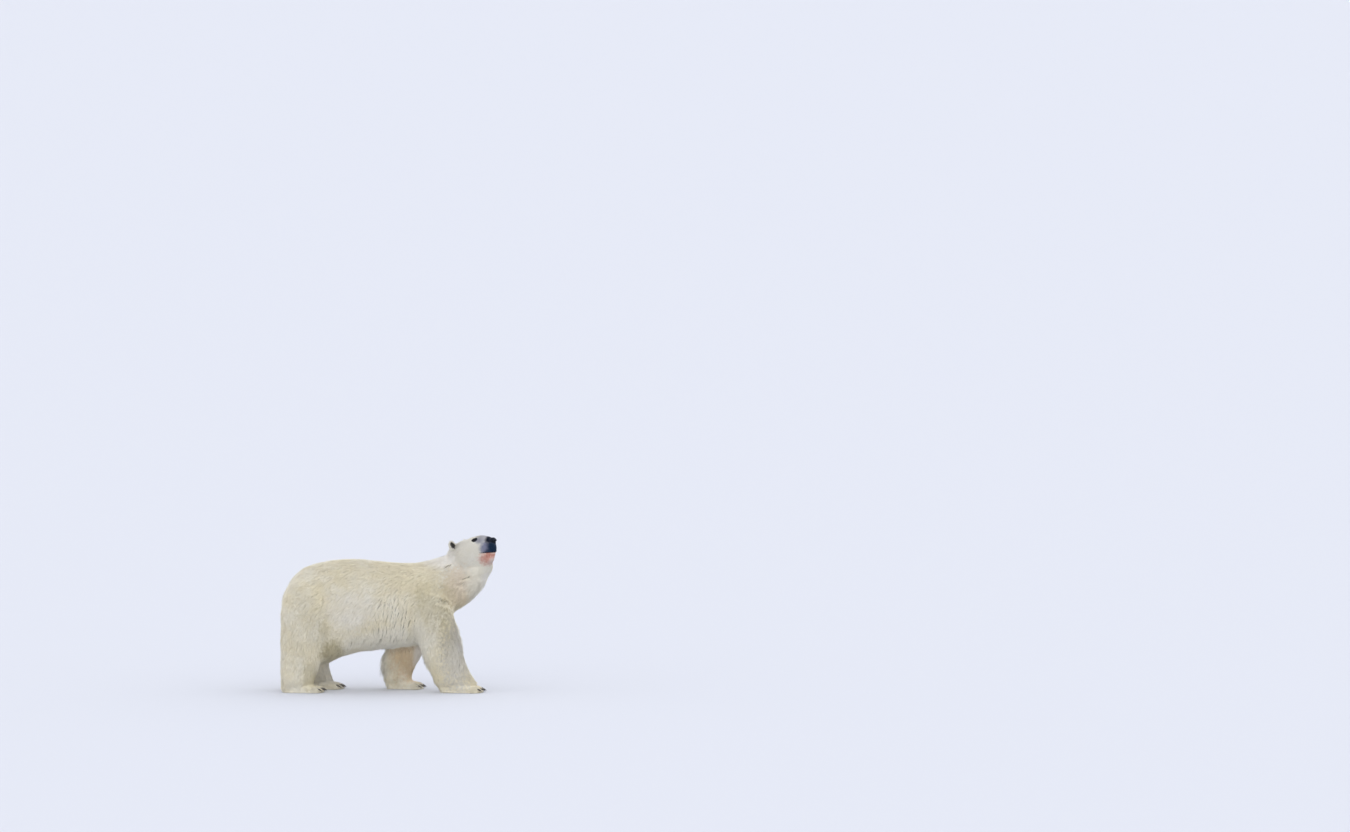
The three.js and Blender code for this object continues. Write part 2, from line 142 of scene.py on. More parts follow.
def orderFaces(mesh):  # one order in every run, because Blender makes a sphere's faces in any order
    points, uvs = readPoints(mesh), readRows(mesh.uv_layers[0].data, "uv", 2).tolist()
    faces = []
    for face in mesh.polygons:
        corners = [(mesh.loops[k].vertex_index, uvs[k]) for k in face.loop_indices]
        first = corners.index(min(corners))
        faces.append(corners[first:] + corners[:first])
    faces.sort()
    mesh.clear_geometry()
    mesh.from_pydata(points, [], [[vertex for vertex, uv in face] for face in faces])
    layer = mesh.uv_layers.new(name="UVMap")
    layer.data.foreach_set("uv", np.ravel([uv for face in faces for vertex, uv in face]))


def newBall(name, segments, rings, sideways=False):  # a unit sphere; sideways, its poles lie fore and aft
    bpy.ops.object.select_all(action="DESELECT")
    bpy.ops.mesh.primitive_uv_sphere_add(segments=segments, ring_count=rings, radius=1,
                                         rotation=(0, math.pi / 2 if sideways else 0, 0))
    ball = bpy.context.active_object
    ball.name = name
    bpy.ops.object.transform_apply(rotation=True)
    orderFaces(ball.data)
    return ball


def refine(piece, chooser):  # halves the faces that the chooser picks by their centres
    only(piece)
    mesh = piece.data
    chosen = chooser(readRows(mesh.polygons, "center"))
    mesh.vertices.foreach_set("select", np.zeros(len(mesh.vertices), bool))
    mesh.edges.foreach_set("select", np.zeros(len(mesh.edges), bool))
    mesh.polygons.foreach_set("select", chosen)
    bpy.context.tool_settings.mesh_select_mode = (False, False, True)
    bpy.ops.object.mode_set(mode="EDIT")
    bpy.ops.mesh.subdivide(number_cuts=1)
    bpy.ops.object.mode_set(mode="OBJECT")


# the head's own axes: forward, left and up from the middle of the brow

head = {
    "pitch": 25,  # degrees that the muzzle is raised
    "eyeBehindBrow": 0.0045,
    "eyeBelowBrow": 0.004,
}


def middle(node):
    low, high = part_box(node)
    return np.array((low + high) / 2)


headLeft = unit(middle("eye_left") - middle("eye_right"))
headFlat = np.array([headLeft[1], -headLeft[0], 0])
headPitch = math.radians(head["pitch"])
headForward = headFlat * math.cos(headPitch) + np.array([0, 0, math.sin(headPitch)])
headUp = np.cross(headForward, headLeft)
headAxes = np.stack([headForward, headLeft, headUp], axis=1)
headMiddle = ((middle("eye_left") + middle("eye_right")) / 2 + headForward * head["eyeBehindBrow"]
              + headUp * head["eyeBelowBrow"])


def toHead(points):
    return (points - headMiddle) @ headAxes


def fromHead(points):
    return headMiddle + np.asarray(points) @ headAxes.T


# skin: one closed hide from all the nodes of flesh, inside them by the coat's depth

skinSettings = {  # metres
    "voxel": 0.0152,
    "overlap": 0.0018,  # swells each solid so that the parting cuts close
    "smoothRounds": 64,
    "giveBackRounds": 42,
    "bodyDepth": 0.024,
    "legDepth": 0.019,
    "pawDepth": 0.012,
    "napeDepth": 0.021,
    "crownDepth": 0.011,
    "faceDepth": 0.005,
    "muzzleDepth": 0.0022,
    "bridgeRise": 0.007,  # fuller bridge between eyes and nose
    "follow": {"head": 0.5, "crown": 0.75, "paw": 0.85, "leg": 0.45},  # how much less each region is smoothed
}
fleshNames = [n for n in nodes if not n.startswith(("claw", "eye", "nose", "ear"))]
earNames = ["ear_right", "ear_left"]


def regions(points):  # how much each point belongs to head, face, muzzle, leg and paw
    place = toHead(points)
    forward, up = place[:, 0], place[:, 2]
    onHead = soft(-0.37, -0.24, forward) * soft(-0.37, -0.26, up)
    return {
        "head": onHead,
        "crown": onHead * soft(-0.26, -0.13, forward),
        "face": onHead * soft(-0.14, -0.03, forward),
        "muzzle": onHead * soft(0.02, 0.09, forward),
        "leg": soft(0.62, 0.42, points[:, 2]),
        "paw": soft(0.21, 0.06, points[:, 2]),
    }


def coatDepth(points):
    r = regions(points)
    depth = np.full(len(points), skinSettings["bodyDepth"])
    for region, size in (("leg", "legDepth"), ("paw", "pawDepth"), ("head", "napeDepth"),
                         ("crown", "crownDepth"), ("face", "faceDepth"), ("muzzle", "muzzleDepth")):
        depth = depth + r[region] * (skinSettings[size] - depth)
    return depth * soft(0.0, 0.03, points[:, 2])


def makeHide():
    hide = copyOf(fleshNames + ["eye_right", "eye_left", "nose"], "skin")
    mesh = hide.data
    writePoints(mesh, readPoints(mesh) + readNormals(mesh) * skinSettings["overlap"])
    mesh.remesh_voxel_size = skinSettings["voxel"]
    bpy.ops.object.voxel_remesh()
    bpy.ops.object.mode_set(mode="EDIT")
    bpy.ops.mesh.select_all(action="SELECT")
    bpy.ops.mesh.separate(type="LOOSE")
    bpy.ops.object.mode_set(mode="OBJECT")
    shells = sorted(bpy.context.selected_objects, key=lambda o: len(o.data.vertices))
    for shell in shells[:-1]:
        bpy.data.objects.remove(shell)
    hide = shells[-1]
    hide.name = "skin"
    only(hide)
    mesh = hide.data
    mesh.materials.clear()
    r = regions(readPoints(mesh))
    follow = 0.5
    for region, less in skinSettings["follow"].items():
        follow = follow * (1 - less * r[region])
    smoothPoints(mesh, skinSettings["smoothRounds"], follow, skinSettings["giveBackRounds"])
    refine(hide, lambda c: (regions(c)["head"] > 0.4) | (c[:, 2] < 0.13))
    refine(hide, lambda c: (regions(c)["face"] > 0.2))
    smoothPoints(mesh, 6, 0.5, 20)
    points, normals = readPoints(mesh), readNormals(mesh)
    ahead, aside, up = toHead(points).T
    bridge = soft(-0.01, 0.05, ahead) * soft(0.160, 0.125, ahead)
    bridge = bridge * soft(0.080, 0.030, np.abs(aside)) * soft(-0.070, -0.020, up)
    sink = coatDepth(points) + creaseAt(points, True) * soft(0.25, 0.6, np.abs(normals[:, 1]))
    sink = sink - skinSettings["bridgeRise"] * bridge
    writePoints(mesh, points - normals * sink[:, None])
    smoothPoints(mesh, 2, 0.4)
    return hide


# folds of the hide: start and end as x and z, depth, width, and how much painted shade darkens them
creases = [
    ((0.479, 0.905), (0.575, 0.862), 0.009, 0.009, 1.0),
    ((0.555, 1.200), (0.605, 1.220), 0.009, 0.008, 0.9),
    ((0.721, 1.095), (0.782, 1.120), 0.010, 0.008, 1.0),
    ((0.640, 1.330), (0.595, 1.230), 0.004, 0.020, 0.25),
    ((0.690, 1.060), (0.740, 1.045), 0.005, 0.008, 0.6),
    ((-0.640, 0.620), (-0.560, 0.300), 0.007, 0.030, 0.3),
]


def creaseAt(points, depths=False):  # how much painted shade the fold gets, or its depth
    total = np.zeros(len(points))
    place = points[:, [0, 2]]
    for start, end, depth, width, dark in creases:
        start, run = np.array(start), np.array(end) - np.array(start)
        along = np.clip((place - start) @ run / (run @ run), 0, 1)
        away = np.linalg.norm(place - start - along[:, None] * run, axis=1)
        fold = np.exp(-(away / width) ** 2)
        total = np.maximum(total, fold * (depth if depths else dark))
    return total


skin = makeHide()
print("stage: hide made,", len(skin.data.polygons), "faces, lowest", readPoints(skin.data)[:, 2].min())

# eyes

eye = {
    "radius": 0.0145,
    "corneaRise": 0.0014,
    "openWide": 0.0138,
    "openHigh": 0.0080,
    "openLow": 0.0064,
    "slant": -10,  # degrees, outer corner against the level of the head
    "lid": 0.0017,
    "drape": 0.0032,  # how softly the lid leaves the ball
    "inset": 0.0035,  # how far the hide behind the opening lies inside the ball
    "brow": (0.017, 0.020, 0.007, 0.0016),  # height over the middle, half width, half height, rise
    "fold": (0.017, 0.0125, 0.13, 0.0011),  # over the upper lid: half width, half height, thickness, depth
    "tear": (0.0145, -0.0012, 0.0035, 0.0016, 0.0016),  # inner corner: across, up, half sizes, depth
    "outward": 0.80,
    "ahead": 0.30,
    "upward": 0.42,
    "iris": ("#080504", "#1c110b"),
    "pupil": "#040404",
    "white": "#070606",
    "pupilEdge": (0.0030, 0.0036),  # from the top of the cornea
    "irisEdge": (0.0078, 0.0092),
}


def eyeFrame(side):  # centre, then axes across (towards the nose), up and out of the eye
    name = "eye_right" if side < 0 else "eye_left"
    out = unit(headLeft * side * eye["outward"] + headForward * eye["ahead"] + headUp * eye["upward"])
    across = unit(headForward - out * (headForward @ out))
    up = np.cross(out, across) * (1 if np.cross(out, across) @ headUp > 0 else -1)
    turn = math.radians(eye["slant"])
    return (middle(name), across * math.cos(turn) + up * math.sin(turn),
            up * math.cos(turn) - across * math.sin(turn), out)


def openLids():
    mesh = skin.data
    browUp, browWide, browHigh, browRise = eye["brow"]
    foldWide, foldHigh, foldThick, foldDepth = eye["fold"]
    tearAcross, tearUp, tearWide, tearHigh, tearDepth = eye["tear"]
    for reach in (0.036, 0.026):
        for side in (-1, 1):
            centre, across, up, out = eyeFrame(side)
            refine(skin, lambda c: np.linalg.norm(c - (centre + out * 0.01), axis=1) < reach)
        smoothPoints(mesh, 4, 0.5 * (regions(readPoints(mesh))["face"] > 0.3))
    points = readPoints(mesh)
    dark = np.zeros(len(points))
    for side in (-1, 1):
        centre, across, up, out = eyeFrame(side)
        q = points - centre
        a, b, c = q @ across, q @ up, q @ out
        near = (np.linalg.norm(q, axis=1) < 0.06) & (c > -0.006)
        high = np.where(b > 0, eye["openHigh"], eye["openLow"])
        ring = np.sqrt(np.abs(a / eye["openWide"]) ** 2.2 + (b / high) ** 2)
        snap = near & (ring > 0.86) & (ring < 1.14)  # points by the lid's edge move on to it
        scale = np.where(snap, 1.01 / np.maximum(ring, 0.01), 1)
        a, b, ring = a * scale, b * scale, ring * scale
        wide = a * a + b * b
        ball = np.sqrt(np.maximum(eye["radius"] ** 2 - wide, 1e-8))
        shell = np.sqrt(np.maximum((eye["radius"] + eye["lid"]) ** 2 - wide, 1e-8))
        shell = shell - 0.004 * soft(0.013, 0.020, np.sqrt(wide))
        lift = 0.5 * (shell + c + np.sqrt((shell - c) ** 2 + eye["drape"] ** 2))  # the lid drapes over the ball
        brow = np.sqrt((a / browWide) ** 2 + ((b - browUp) / browHigh) ** 2)
        fold = np.sqrt((a / foldWide) ** 2 + (b / foldHigh) ** 2)
        lift = lift + browRise * soft(1.6, 0.2, brow)
        lift = lift - foldDepth * np.exp(-((fold - 1) / foldThick) ** 2) * (b > 0)
        tear = np.exp(-(((a - tearAcross) / tearWide) ** 2 + ((b - tearUp) / tearHigh) ** 2))
        lift = lift - tearDepth * tear
        level = np.where(ring < 1.0, ball - eye["inset"], lift)
        moved = centre + a[:, None] * across + b[:, None] * up + level[:, None] * out
        points = np.where((near & (wide < 0.036 ** 2))[:, None], moved, points)
        dark = np.maximum(dark, np.where(near, np.maximum(soft(1.95, 1.35, ring), soft(0.4, 0.8, tear)), 0))
    writePoints(mesh, points)
    return dark


def makeEye(side):
    centre, across, up, out = eyeFrame(side)
    sideName = "right" if side < 0 else "left"
    ball = newBall("eyeball_" + sideName, 48, 32)
    p = readPoints(ball.data)
    bulge = 1 + eye["corneaRise"] / eye["radius"] * soft(0.80, 0.93, p[:, 2])
    p = p * bulge[:, None] * eye["radius"]
    writePoints(ball.data, centre + p[:, :1] * across + p[:, 1:2] * np.cross(out, across) + p[:, 2:] * out)
    bpy.ops.object.shade_smooth()
    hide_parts("eye_" + sideName)
    return ball


setAttribute(skin.data, "rim", openLids())
eyeballs = [makeEye(-1), makeEye(1)]
print("stage: eyes and lids")

# mouth: a dark lip line round the muzzle, the upper lip hanging a little over the lower

mouth = {
    "corner": (0.015, -0.1395),  # forwards and up, on the head's axes
    "slope": -0.392,
    "groove": 0.0048,
    "width": 0.0024,
    "overhang": 0.0030,
    "overhangAt": (0.010, 0.008),  # height over the lip line, half width
    "tuckAt": (-0.012, 0.010, 0.9),  # the lower lip draws in: height, half width, share of the overhang
    "darkAbove": 0.0085,  # width of the dark skin over the lip line, and under it
    "darkBelow": 0.0045,
}


def aboveLips(points):  # height over the lip line in the head's frame
    place = toHead(points)
    return place[:, 2] - mouth["corner"][1] - mouth["slope"] * (place[:, 0] - mouth["corner"][0])


def shapeMouth():
    mesh = skin.data
    refine(skin, lambda c: (regions(c)["face"] > 0.3) & (np.abs(aboveLips(c)) < 0.016)
           & (toHead(c)[:, 0] > -0.03))
    points, normals = readPoints(mesh), readNormals(mesh)
    above = aboveLips(points)
    along = soft(mouth["corner"][0] - 0.012, mouth["corner"][0] + 0.014, toHead(points)[:, 0])
    along = along * (regions(points)["face"] > 0.3)
    groove = mouth["groove"] * np.exp(-(above / mouth["width"]) ** 2)
    (upperAt, upperHalf), (lowerAt, lowerHalf, lowerShare) = mouth["overhangAt"], mouth["tuckAt"]
    overhang = mouth["overhang"] * (np.exp(-((above - upperAt) / upperHalf) ** 2)
                                    - lowerShare * np.exp(-((above - lowerAt) / lowerHalf) ** 2))
    writePoints(mesh, points + normals * ((overhang - groove) * along)[:, None])
    return along * np.exp(-(above / np.where(above > 0, mouth["darkAbove"], mouth["darkBelow"])) ** 2)


setAttribute(skin.data, "lip", shapeMouth())
print("stage: mouth")

# nose pad

nose = {
    "deep": 0.029,
    "wide": 0.041,
    "high": 0.0345,
    "tilt": 0.30,  # radians
    "lower": 0.003,
    "nostril": (0.0175, -0.0020, 0.0085, 0.0088),  # aside, up, half width, half height
    "slit": (0.0295, -0.0085, 0.0075, 0.0042),
    "wing": (0.0300, 0.0070, 0.0100, 0.0100),
    "nostrilDepth": 0.012,
    "slitDepth": 0.0070,
    "wingRise": 0.0028,
    "cleftWidth": 0.0022,
    "cleftDepth": 0.0030,
    "leather": ("#05070c", "#10182a"),
    "nostrilBlack": "#020203",
}


def makeNose():
    pad = newBall("nosePad", 112, 80, sideways=True)
    x, y, z = readPoints(pad.data).T
    front = soft(0.0, 0.5, x)
    deep = np.sign(x) * np.abs(x) ** 0.8 * nose["deep"]
    wide = y * nose["wide"] * (1 + 0.10 * z - 0.16 * soft(0.1, -0.9, z))
    high = z * nose["high"] * (1 - 0.10 * np.abs(y) ** 2)
    hollow = np.zeros(len(x))
    for side in (-1, 1):
        hole, slit, wing = (np.exp(-(((wide - side * aside) / halfWide) ** 2 + ((high - up) / halfHigh) ** 2))
                            for aside, up, halfWide, halfHigh in (nose["nostril"], nose["slit"], nose["wing"]))
        hole = hole ** 1.2
        deep = deep + front * (nose["wingRise"] * wing - nose["nostrilDepth"] * hole - nose["slitDepth"] * slit)
        hollow = np.maximum(hollow, front * np.maximum(hole, 0.8 * slit))
    cleft = np.exp(-(wide / nose["cleftWidth"]) ** 2) * soft(0.012, -0.004, high)
    deep = deep - front * nose["cleftDepth"] * cleft
    local = np.stack([deep, wide, high], axis=1)
    turn = np.array(Matrix.Rotation(nose["tilt"], 3, "Y"))
    local = local @ turn.T + toHead(middle("nose")) - [0, 0, nose["lower"]]
    writePoints(pad.data, fromHead(local))
    setAttribute(pad.data, "hollow", hollow)
    bpy.ops.object.shade_smooth()
    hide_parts("nose")
    return pad


nosePad = makeNose()
print("stage: nose")

# ears: cupped shells with a thick furred rim, joined to the skin

ear = {
    "place": (-0.214, 0.111, 0.026),  # forwards, aside and up, on the head's axes
    "half": (0.0200, 0.039, 0.052),  # half depth, width and height
    "toe": 0.20,  # turned outwards, in radians
    "splay": 0.30,
    "lean": 0.20,
    "cup": 0.62,  # how deep it is hollowed
    "rim": 0.0035,
    "curl": 0.006,  # how far top and bottom bend forwards
    "taper": 0.22,  # how much narrower it is at the base
    "hair": 0.0046,  # depth of the hair in front, and how much more behind
    "hairBehind": 0.0055,
}


def makeEar(side):
    shell = newBall("earShell", 48, 32, sideways=True)
    x, y, z = readPoints(shell.data).T
    halfDeep, halfWide, halfHigh = ear["half"]
    inner = soft(0.02, 0.30, x)
    deep = np.where(x > 0, ear["rim"] * (1 - inner) - inner * ear["cup"] * x * halfDeep, x * halfDeep)
    lobe = 1 - ear["taper"] * soft(-0.1, -1.0, z)
    local = np.stack([deep + ear["curl"] * z ** 2, y * halfWide * lobe, z * halfHigh], axis=1)
    turn = np.array(Matrix.Rotation(-side * ear["splay"], 3, "X") @ Matrix.Rotation(-ear["lean"], 3, "Y")
                    @ Matrix.Rotation(side * ear["toe"], 3, "Z"))
    seat = np.array(ear["place"]) * [1, side, 1]
    writePoints(shell.data, fromHead(local @ turn.T + seat))
    setAttribute(shell.data, "earInner", soft(0.34, 0.72, x))
    setAttribute(shell.data, "isEar", np.ones(len(x)))
    return shell


ears = [makeEar(-1), makeEar(1)]
for name in ("earInner", "isEar"):
    setAttribute(skin.data, name, np.zeros(len(skin.data.vertices)))
only(skin)
for shell in ears:
    shell.select_set(True)
bpy.ops.object.join()
print("stage: ears")

# toes: five rounded pads of hair to a paw, parted by shallow furrows

toes = {
    "behindClaw": 0.115,  # how far back the toe runs
    "half": 0.023,
    "raise": 0.0075,
    "furrow": 0.75,  # depth of the furrows beside the raise
}
clawNames = [n for n in nodes if n.startswith("claw")]


def shapeToes():
    mesh = skin.data
    points, normals = readPoints(mesh), readNormals(mesh)
    push = np.zeros(len(points))
    for name in clawNames:
        low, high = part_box(name)
        ahead = points[:, 0] - (low.x + 0.02)
        beside = np.abs(points[:, 1] - (low.y + high.y) / 2) / toes["half"]
        near = soft(-toes["behindClaw"], -0.04, ahead) * (ahead < 0.08) * (points[:, 2] < 0.11)
        push += near * (np.exp(-(beside / 0.62) ** 2) - toes["furrow"] * np.exp(-((beside - 1) / 0.30) ** 2))
    writePoints(mesh, points + normals * (push * toes["raise"] * soft(-0.7, -0.2, normals[:, 2]))[:, None])


shapeToes()
print("stage: toes")

# soles: bare dark pads with fur between them

soles = {  # shares of the paw: across from its middle, along from its heel, half width, half length
    "palm": (0.0, 0.60, 0.62, 0.13),
    "heelFore": (-0.1, 0.22, 0.38, 0.07),
    "heelHind": (-0.1, 0.22, 0.38, 0.16),
    "toeHalf": (0.14, 0.055),
    "toeSpread": 0.80,
    "toeLine": 0.86,
    "toeArc": 0.07,  # how far the outer toes sit back
    "padLevel": 0.0005,  # metres over the floor, and how much higher the hair between the pads is
    "hairRise": 0.005,
}


def padMask(points, normals):
    pad = np.zeros(len(points))
    for leg in ("foreleg_right", "foreleg_left", "hindleg_right", "hindleg_left"):
        low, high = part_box(leg + "_paw")
        across = (points[:, 1] - (low.y + high.y) / 2) / ((high.y - low.y) / 2)
        along = (points[:, 0] - low.x) / (high.x - low.x)
        inside = (np.abs(across) < 1.1) & (along > -0.1) & (along < 1.1)
        spots = [soles["palm"], soles["heelHind" if leg.startswith("hind") else "heelFore"]]
        spots += [(t * soles["toeSpread"], soles["toeLine"] - soles["toeArc"] * t * t, *soles["toeHalf"])
                  for t in (-1, -0.5, 0, 0.5, 1)]
        for aside, ahead, halfWide, halfLong in spots:
            reach = np.hypot((across - aside) / halfWide, (along - ahead) / halfLong)
            pad = np.maximum(pad, np.where(inside, soft(1.15, 0.85, reach), 0))
    return pad * soft(-0.5, -0.8, normals[:, 2]) * soft(0.04, 0.02, points[:, 2])


def shapeSoles():
    mesh = skin.data
    points, normals = readPoints(mesh), readNormals(mesh)
    pad = padMask(points, normals)
    sole = soft(-0.5, -0.8, normals[:, 2]) * soft(0.03, 0.012, points[:, 2])
    points[:, 2] += sole * (soles["padLevel"] + soles["hairRise"] * (1 - pad) - points[:, 2])
    points[:, 2] = np.maximum(points[:, 2], 0.0004)
    writePoints(mesh, points)
    return pad


setAttribute(skin.data, "pad", shapeSoles())
skinPoints, skinNormals = readPoints(skin.data), readNormals(skin.data)
skinMesh = skin.data
only(skin)
bpy.ops.object.shade_smooth()
bpy.ops.object.mode_set(mode="EDIT")
bpy.ops.mesh.select_all(action="SELECT")
bpy.ops.uv.smart_project(angle_limit=math.radians(66), island_margin=0.002)
bpy.ops.object.mode_set(mode="OBJECT")
skinMesh.uv_layers[0].name = "OFBake"
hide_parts(*fleshNames, *earNames)
print("stage: skin unwrapped,", len(skinMesh.polygons), "faces")

# claws

clawHorn = ("#17130f", "#4a4037")
claws = copyOf(clawNames, "claws")
claws.data.materials.clear()
rounding = claws.modifiers.new("rounding", "SUBSURF")
rounding.levels = rounding.render_levels = 2
bpy.ops.object.modifier_apply(modifier="rounding")
bpy.ops.object.shade_smooth()
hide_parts(*clawNames)
print("stage: claws")

# coat

coat = {
    "seed": 11,
    "bodyPerSquareMetre": 15600,
    "legPerSquareMetre": 17500,
    "pawPerSquareMetre": 30000,
    "headPerSquareMetre": 56000,
    "facePerSquareMetre": 105000,
    "lengthPerDepth": 3.3,
    "stub": 0.004,  # length that even the shallowest coat has
    "fill": 1.06,  # how far the tips stand off the skin, in coat depths
    "bodyWidth": 0.0064,
    "pawWidth": 0.0046,
    "headWidth": 0.0038,
    "faceWidth": 0.0021,
    "lengthSpread": (0.72, 1.15),
    "heightSpread": (0.76, 1.07),
    "widthSpread": (0.7, 1.25),
    "flyaway": 0.10,  # share of thin, longer locks that stand out
    "flyawayTimes": (1.18, 1.25, 0.5),  # their length, height and width against the others'
    "patch": 0.003,  # side of each lock's place on the skin's map
    "rings": ((0.0, 0.9), (0.48, 0.9)),  # of points round a lock: how far along it, share of its width
    "clumpEvery": 11,  # locks to a clump
    "wetClumpEvery": 36,
    "wetStretch": 0.34,  # damp clumps are this much narrower than tall
    "gather": {"all": 0.16, "wet": 0.80, "leg": 0.24, "fringe": 0.5},  # how far locks lean in to their clump
    "droop": {"all": 0.25, "belly": 0.4, "leg": 0.5, "fringe": 0.4},
    "droopShare": 0.10,  # of the length
}

# rougher hair: centre, reach, how much longer, how much more it stands out
shag = [
    ((-0.08, 0.22, 0.32), 0.17, 1.30, 2.4),
    ((0.36, -0.19, 0.36), 0.15, 0.40, 0.7),
    ((0.70, -0.19, 0.52), 0.11, 0.35, 0.8),
    ((-0.84, 0.18, 0.30), 0.16, 0.30, 0.6),
    ((-0.62, 0.0, 0.34), 0.20, 0.45, 0.3),
    ((0.02, 0.0, 0.42), 0.30, 0.35, 0.2),
    ((0.62, -0.20, 0.62), 0.12, 0.30, 0.9),
]


def scatterRoots():
    mesh = skinMesh
    mesh.calc_loop_triangles()
    count = len(mesh.loop_triangles)
    corner = readRows(mesh.loop_triangles, "vertices", 3, np.int32)
    loops = readRows(mesh.loop_triangles, "loops", 3, np.int32)
    uv = readRows(mesh.uv_layers["OFBake"].data, "uv", 2)
    points, normals = readPoints(mesh), readNormals(mesh)
    r = regions(points)
    density = np.full(len(points), float(coat["bodyPerSquareMetre"]))
    for region, key in (("leg", "legPerSquareMetre"), ("paw", "pawPerSquareMetre"),
                        ("head", "headPerSquareMetre"), ("face", "facePerSquareMetre")):
        density = density + r[region] * (coat[key] - density)
    rim, lip, pad = (readAttribute(mesh, n) for n in ("rim", "lip", "pad"))
    inner, isEar = readAttribute(mesh, "earInner"), readAttribute(mesh, "isEar")
    density = density * np.where(isEar > 0.5, 1.3, 1.0)
    noseNear = np.linalg.norm(points - middle("nose"), axis=1)
    bare = np.maximum.reduce([soft(0.35, 0.8, rim), soft(0.3, 0.8, lip), pad, 0.6 * inner,
                              soft(0.046, 0.037, noseNear)])
    density = density * (1 - bare)
    sides = points[corner]
    area = np.linalg.norm(np.cross(sides[:, 1] - sides[:, 0], sides[:, 2] - sides[:, 0]), axis=1) / 2
    weight = np.cumsum(area * density[corner].mean(1))
    total = int(weight[-1])
    rng = np.random.default_rng(coat["seed"])
    spots = (np.arange(total) + rng.random(total)) / total * weight[-1]
    chosen = np.minimum(np.searchsorted(weight, spots), count - 1)
    u, v = rng.random(total), rng.random(total)
    flip = u + v > 1
    u, v = np.where(flip, 1 - u, u), np.where(flip, 1 - v, v)
    share = np.stack([1 - u - v, u, v], axis=1)[:, :, None]
    return {
        "place": (points[corner[chosen]] * share).sum(1),
        "normal": unit((normals[corner[chosen]] * share).sum(1)),
        "uv": (uv[loops[chosen]] * share).sum(1),
        "isEar": (isEar[corner[chosen]] * share[:, :, 0]).sum(1) > 0.5,
        "inner": (inner[corner[chosen]] * share[:, :, 0]).sum(1),
        "rng": rng,
    }


# the lie of the coat: which way it runs at each place, and its waves as length, strength and seeds
lie = {
    "damp": (-0.22, 0, -1.0),
    "fringe": (-0.35, 0, -1.0),
    "leg": (-0.16, 0, -1.0),
    "paw": (0.55, 0, -0.9),
    "pawTop": (0.6, 0, 0.5),  # added where the paw faces up
    "frontFall": 0.9,  # how much more it falls on chest and rump
    "longWaves": (0.22, 0.16, (1, 2, 3)),
    "shortWaves": (0.07, 0.10, (4, 5, 6)),
    "dampMiddle": (0.055, 0.70),  # x and z, behind the shoulder
    "dampHalf": (0.21, 0.30),
}


def wetRibs(points, normals):  # where the coat hangs in damp upright locks
    reach = (((points[:, [0, 2]] - lie["dampMiddle"]) / lie["dampHalf"]) ** 2).sum(1)
    return np.exp(-reach * reach) * soft(0.30, 0.65, np.abs(normals[:, 1]))


def bellyEdge(points):  # the lower edge of the trunk, where the coat hangs in a fringe
    x, y, z = points.T
    trunk = soft(-0.62, -0.45, x) * soft(0.48, 0.34, x)
    return trunk * soft(0.62, 0.50, z) * soft(0.28, 0.36, z) * (np.abs(y) < 0.4)


def combing(points, normals, r, isEar):  # the lie of the coat, along the skin
    side = soft(0.15, 0.85, np.abs(normals[:, 1]))
    lower = soft(0.95, 0.60, points[:, 2])
    flow = np.stack([-1 + 0.55 * side * (0.4 + 0.6 * lower), 0 * side,
                     -0.22 - 0.80 * side * (0.7 + 0.6 * lower)], axis=1)
    flow[:, 2] -= lie["frontFall"] * soft(0.25, 0.8, np.abs(normals[:, 0]))
    facing = (normals @ headLeft)[:, None]
    towards = {
        "damp": (wetRibs(points, normals), lie["damp"]),
        "fringe": (bellyEdge(points) * (1 - r["head"]), lie["fringe"]),
        "leg": (r["leg"], lie["leg"]),
        "paw": (r["paw"], lie["paw"] + np.abs(normals[:, 2:]) * lie["pawTop"]),
        "head": (r["head"], -headForward - headUp * 0.45 * np.abs(facing) + headLeft * 0.25 * facing),
    }
    for share, way in towards.values():
        flow = flow + share[:, None] * (way - flow)
    behind = soft(0.1, -0.5, normals @ headForward)[:, None]
    tipwards = headUp * 0.9 - headForward * 0.5 - behind * (headUp * 0.45 + headForward * 0.5)
    flow = np.where(isEar[:, None], tipwards, flow)
    for (size, strength, seeds), where in ((lie["longWaves"], 1), (lie["shortWaves"], 1 - r["crown"][:, None])):
        flow = flow + np.stack([wobble(points, size, seed) for seed in seeds], axis=1) * strength * where
    along = flow - normals * (flow * normals).sum(1)[:, None]
    return unit(along)


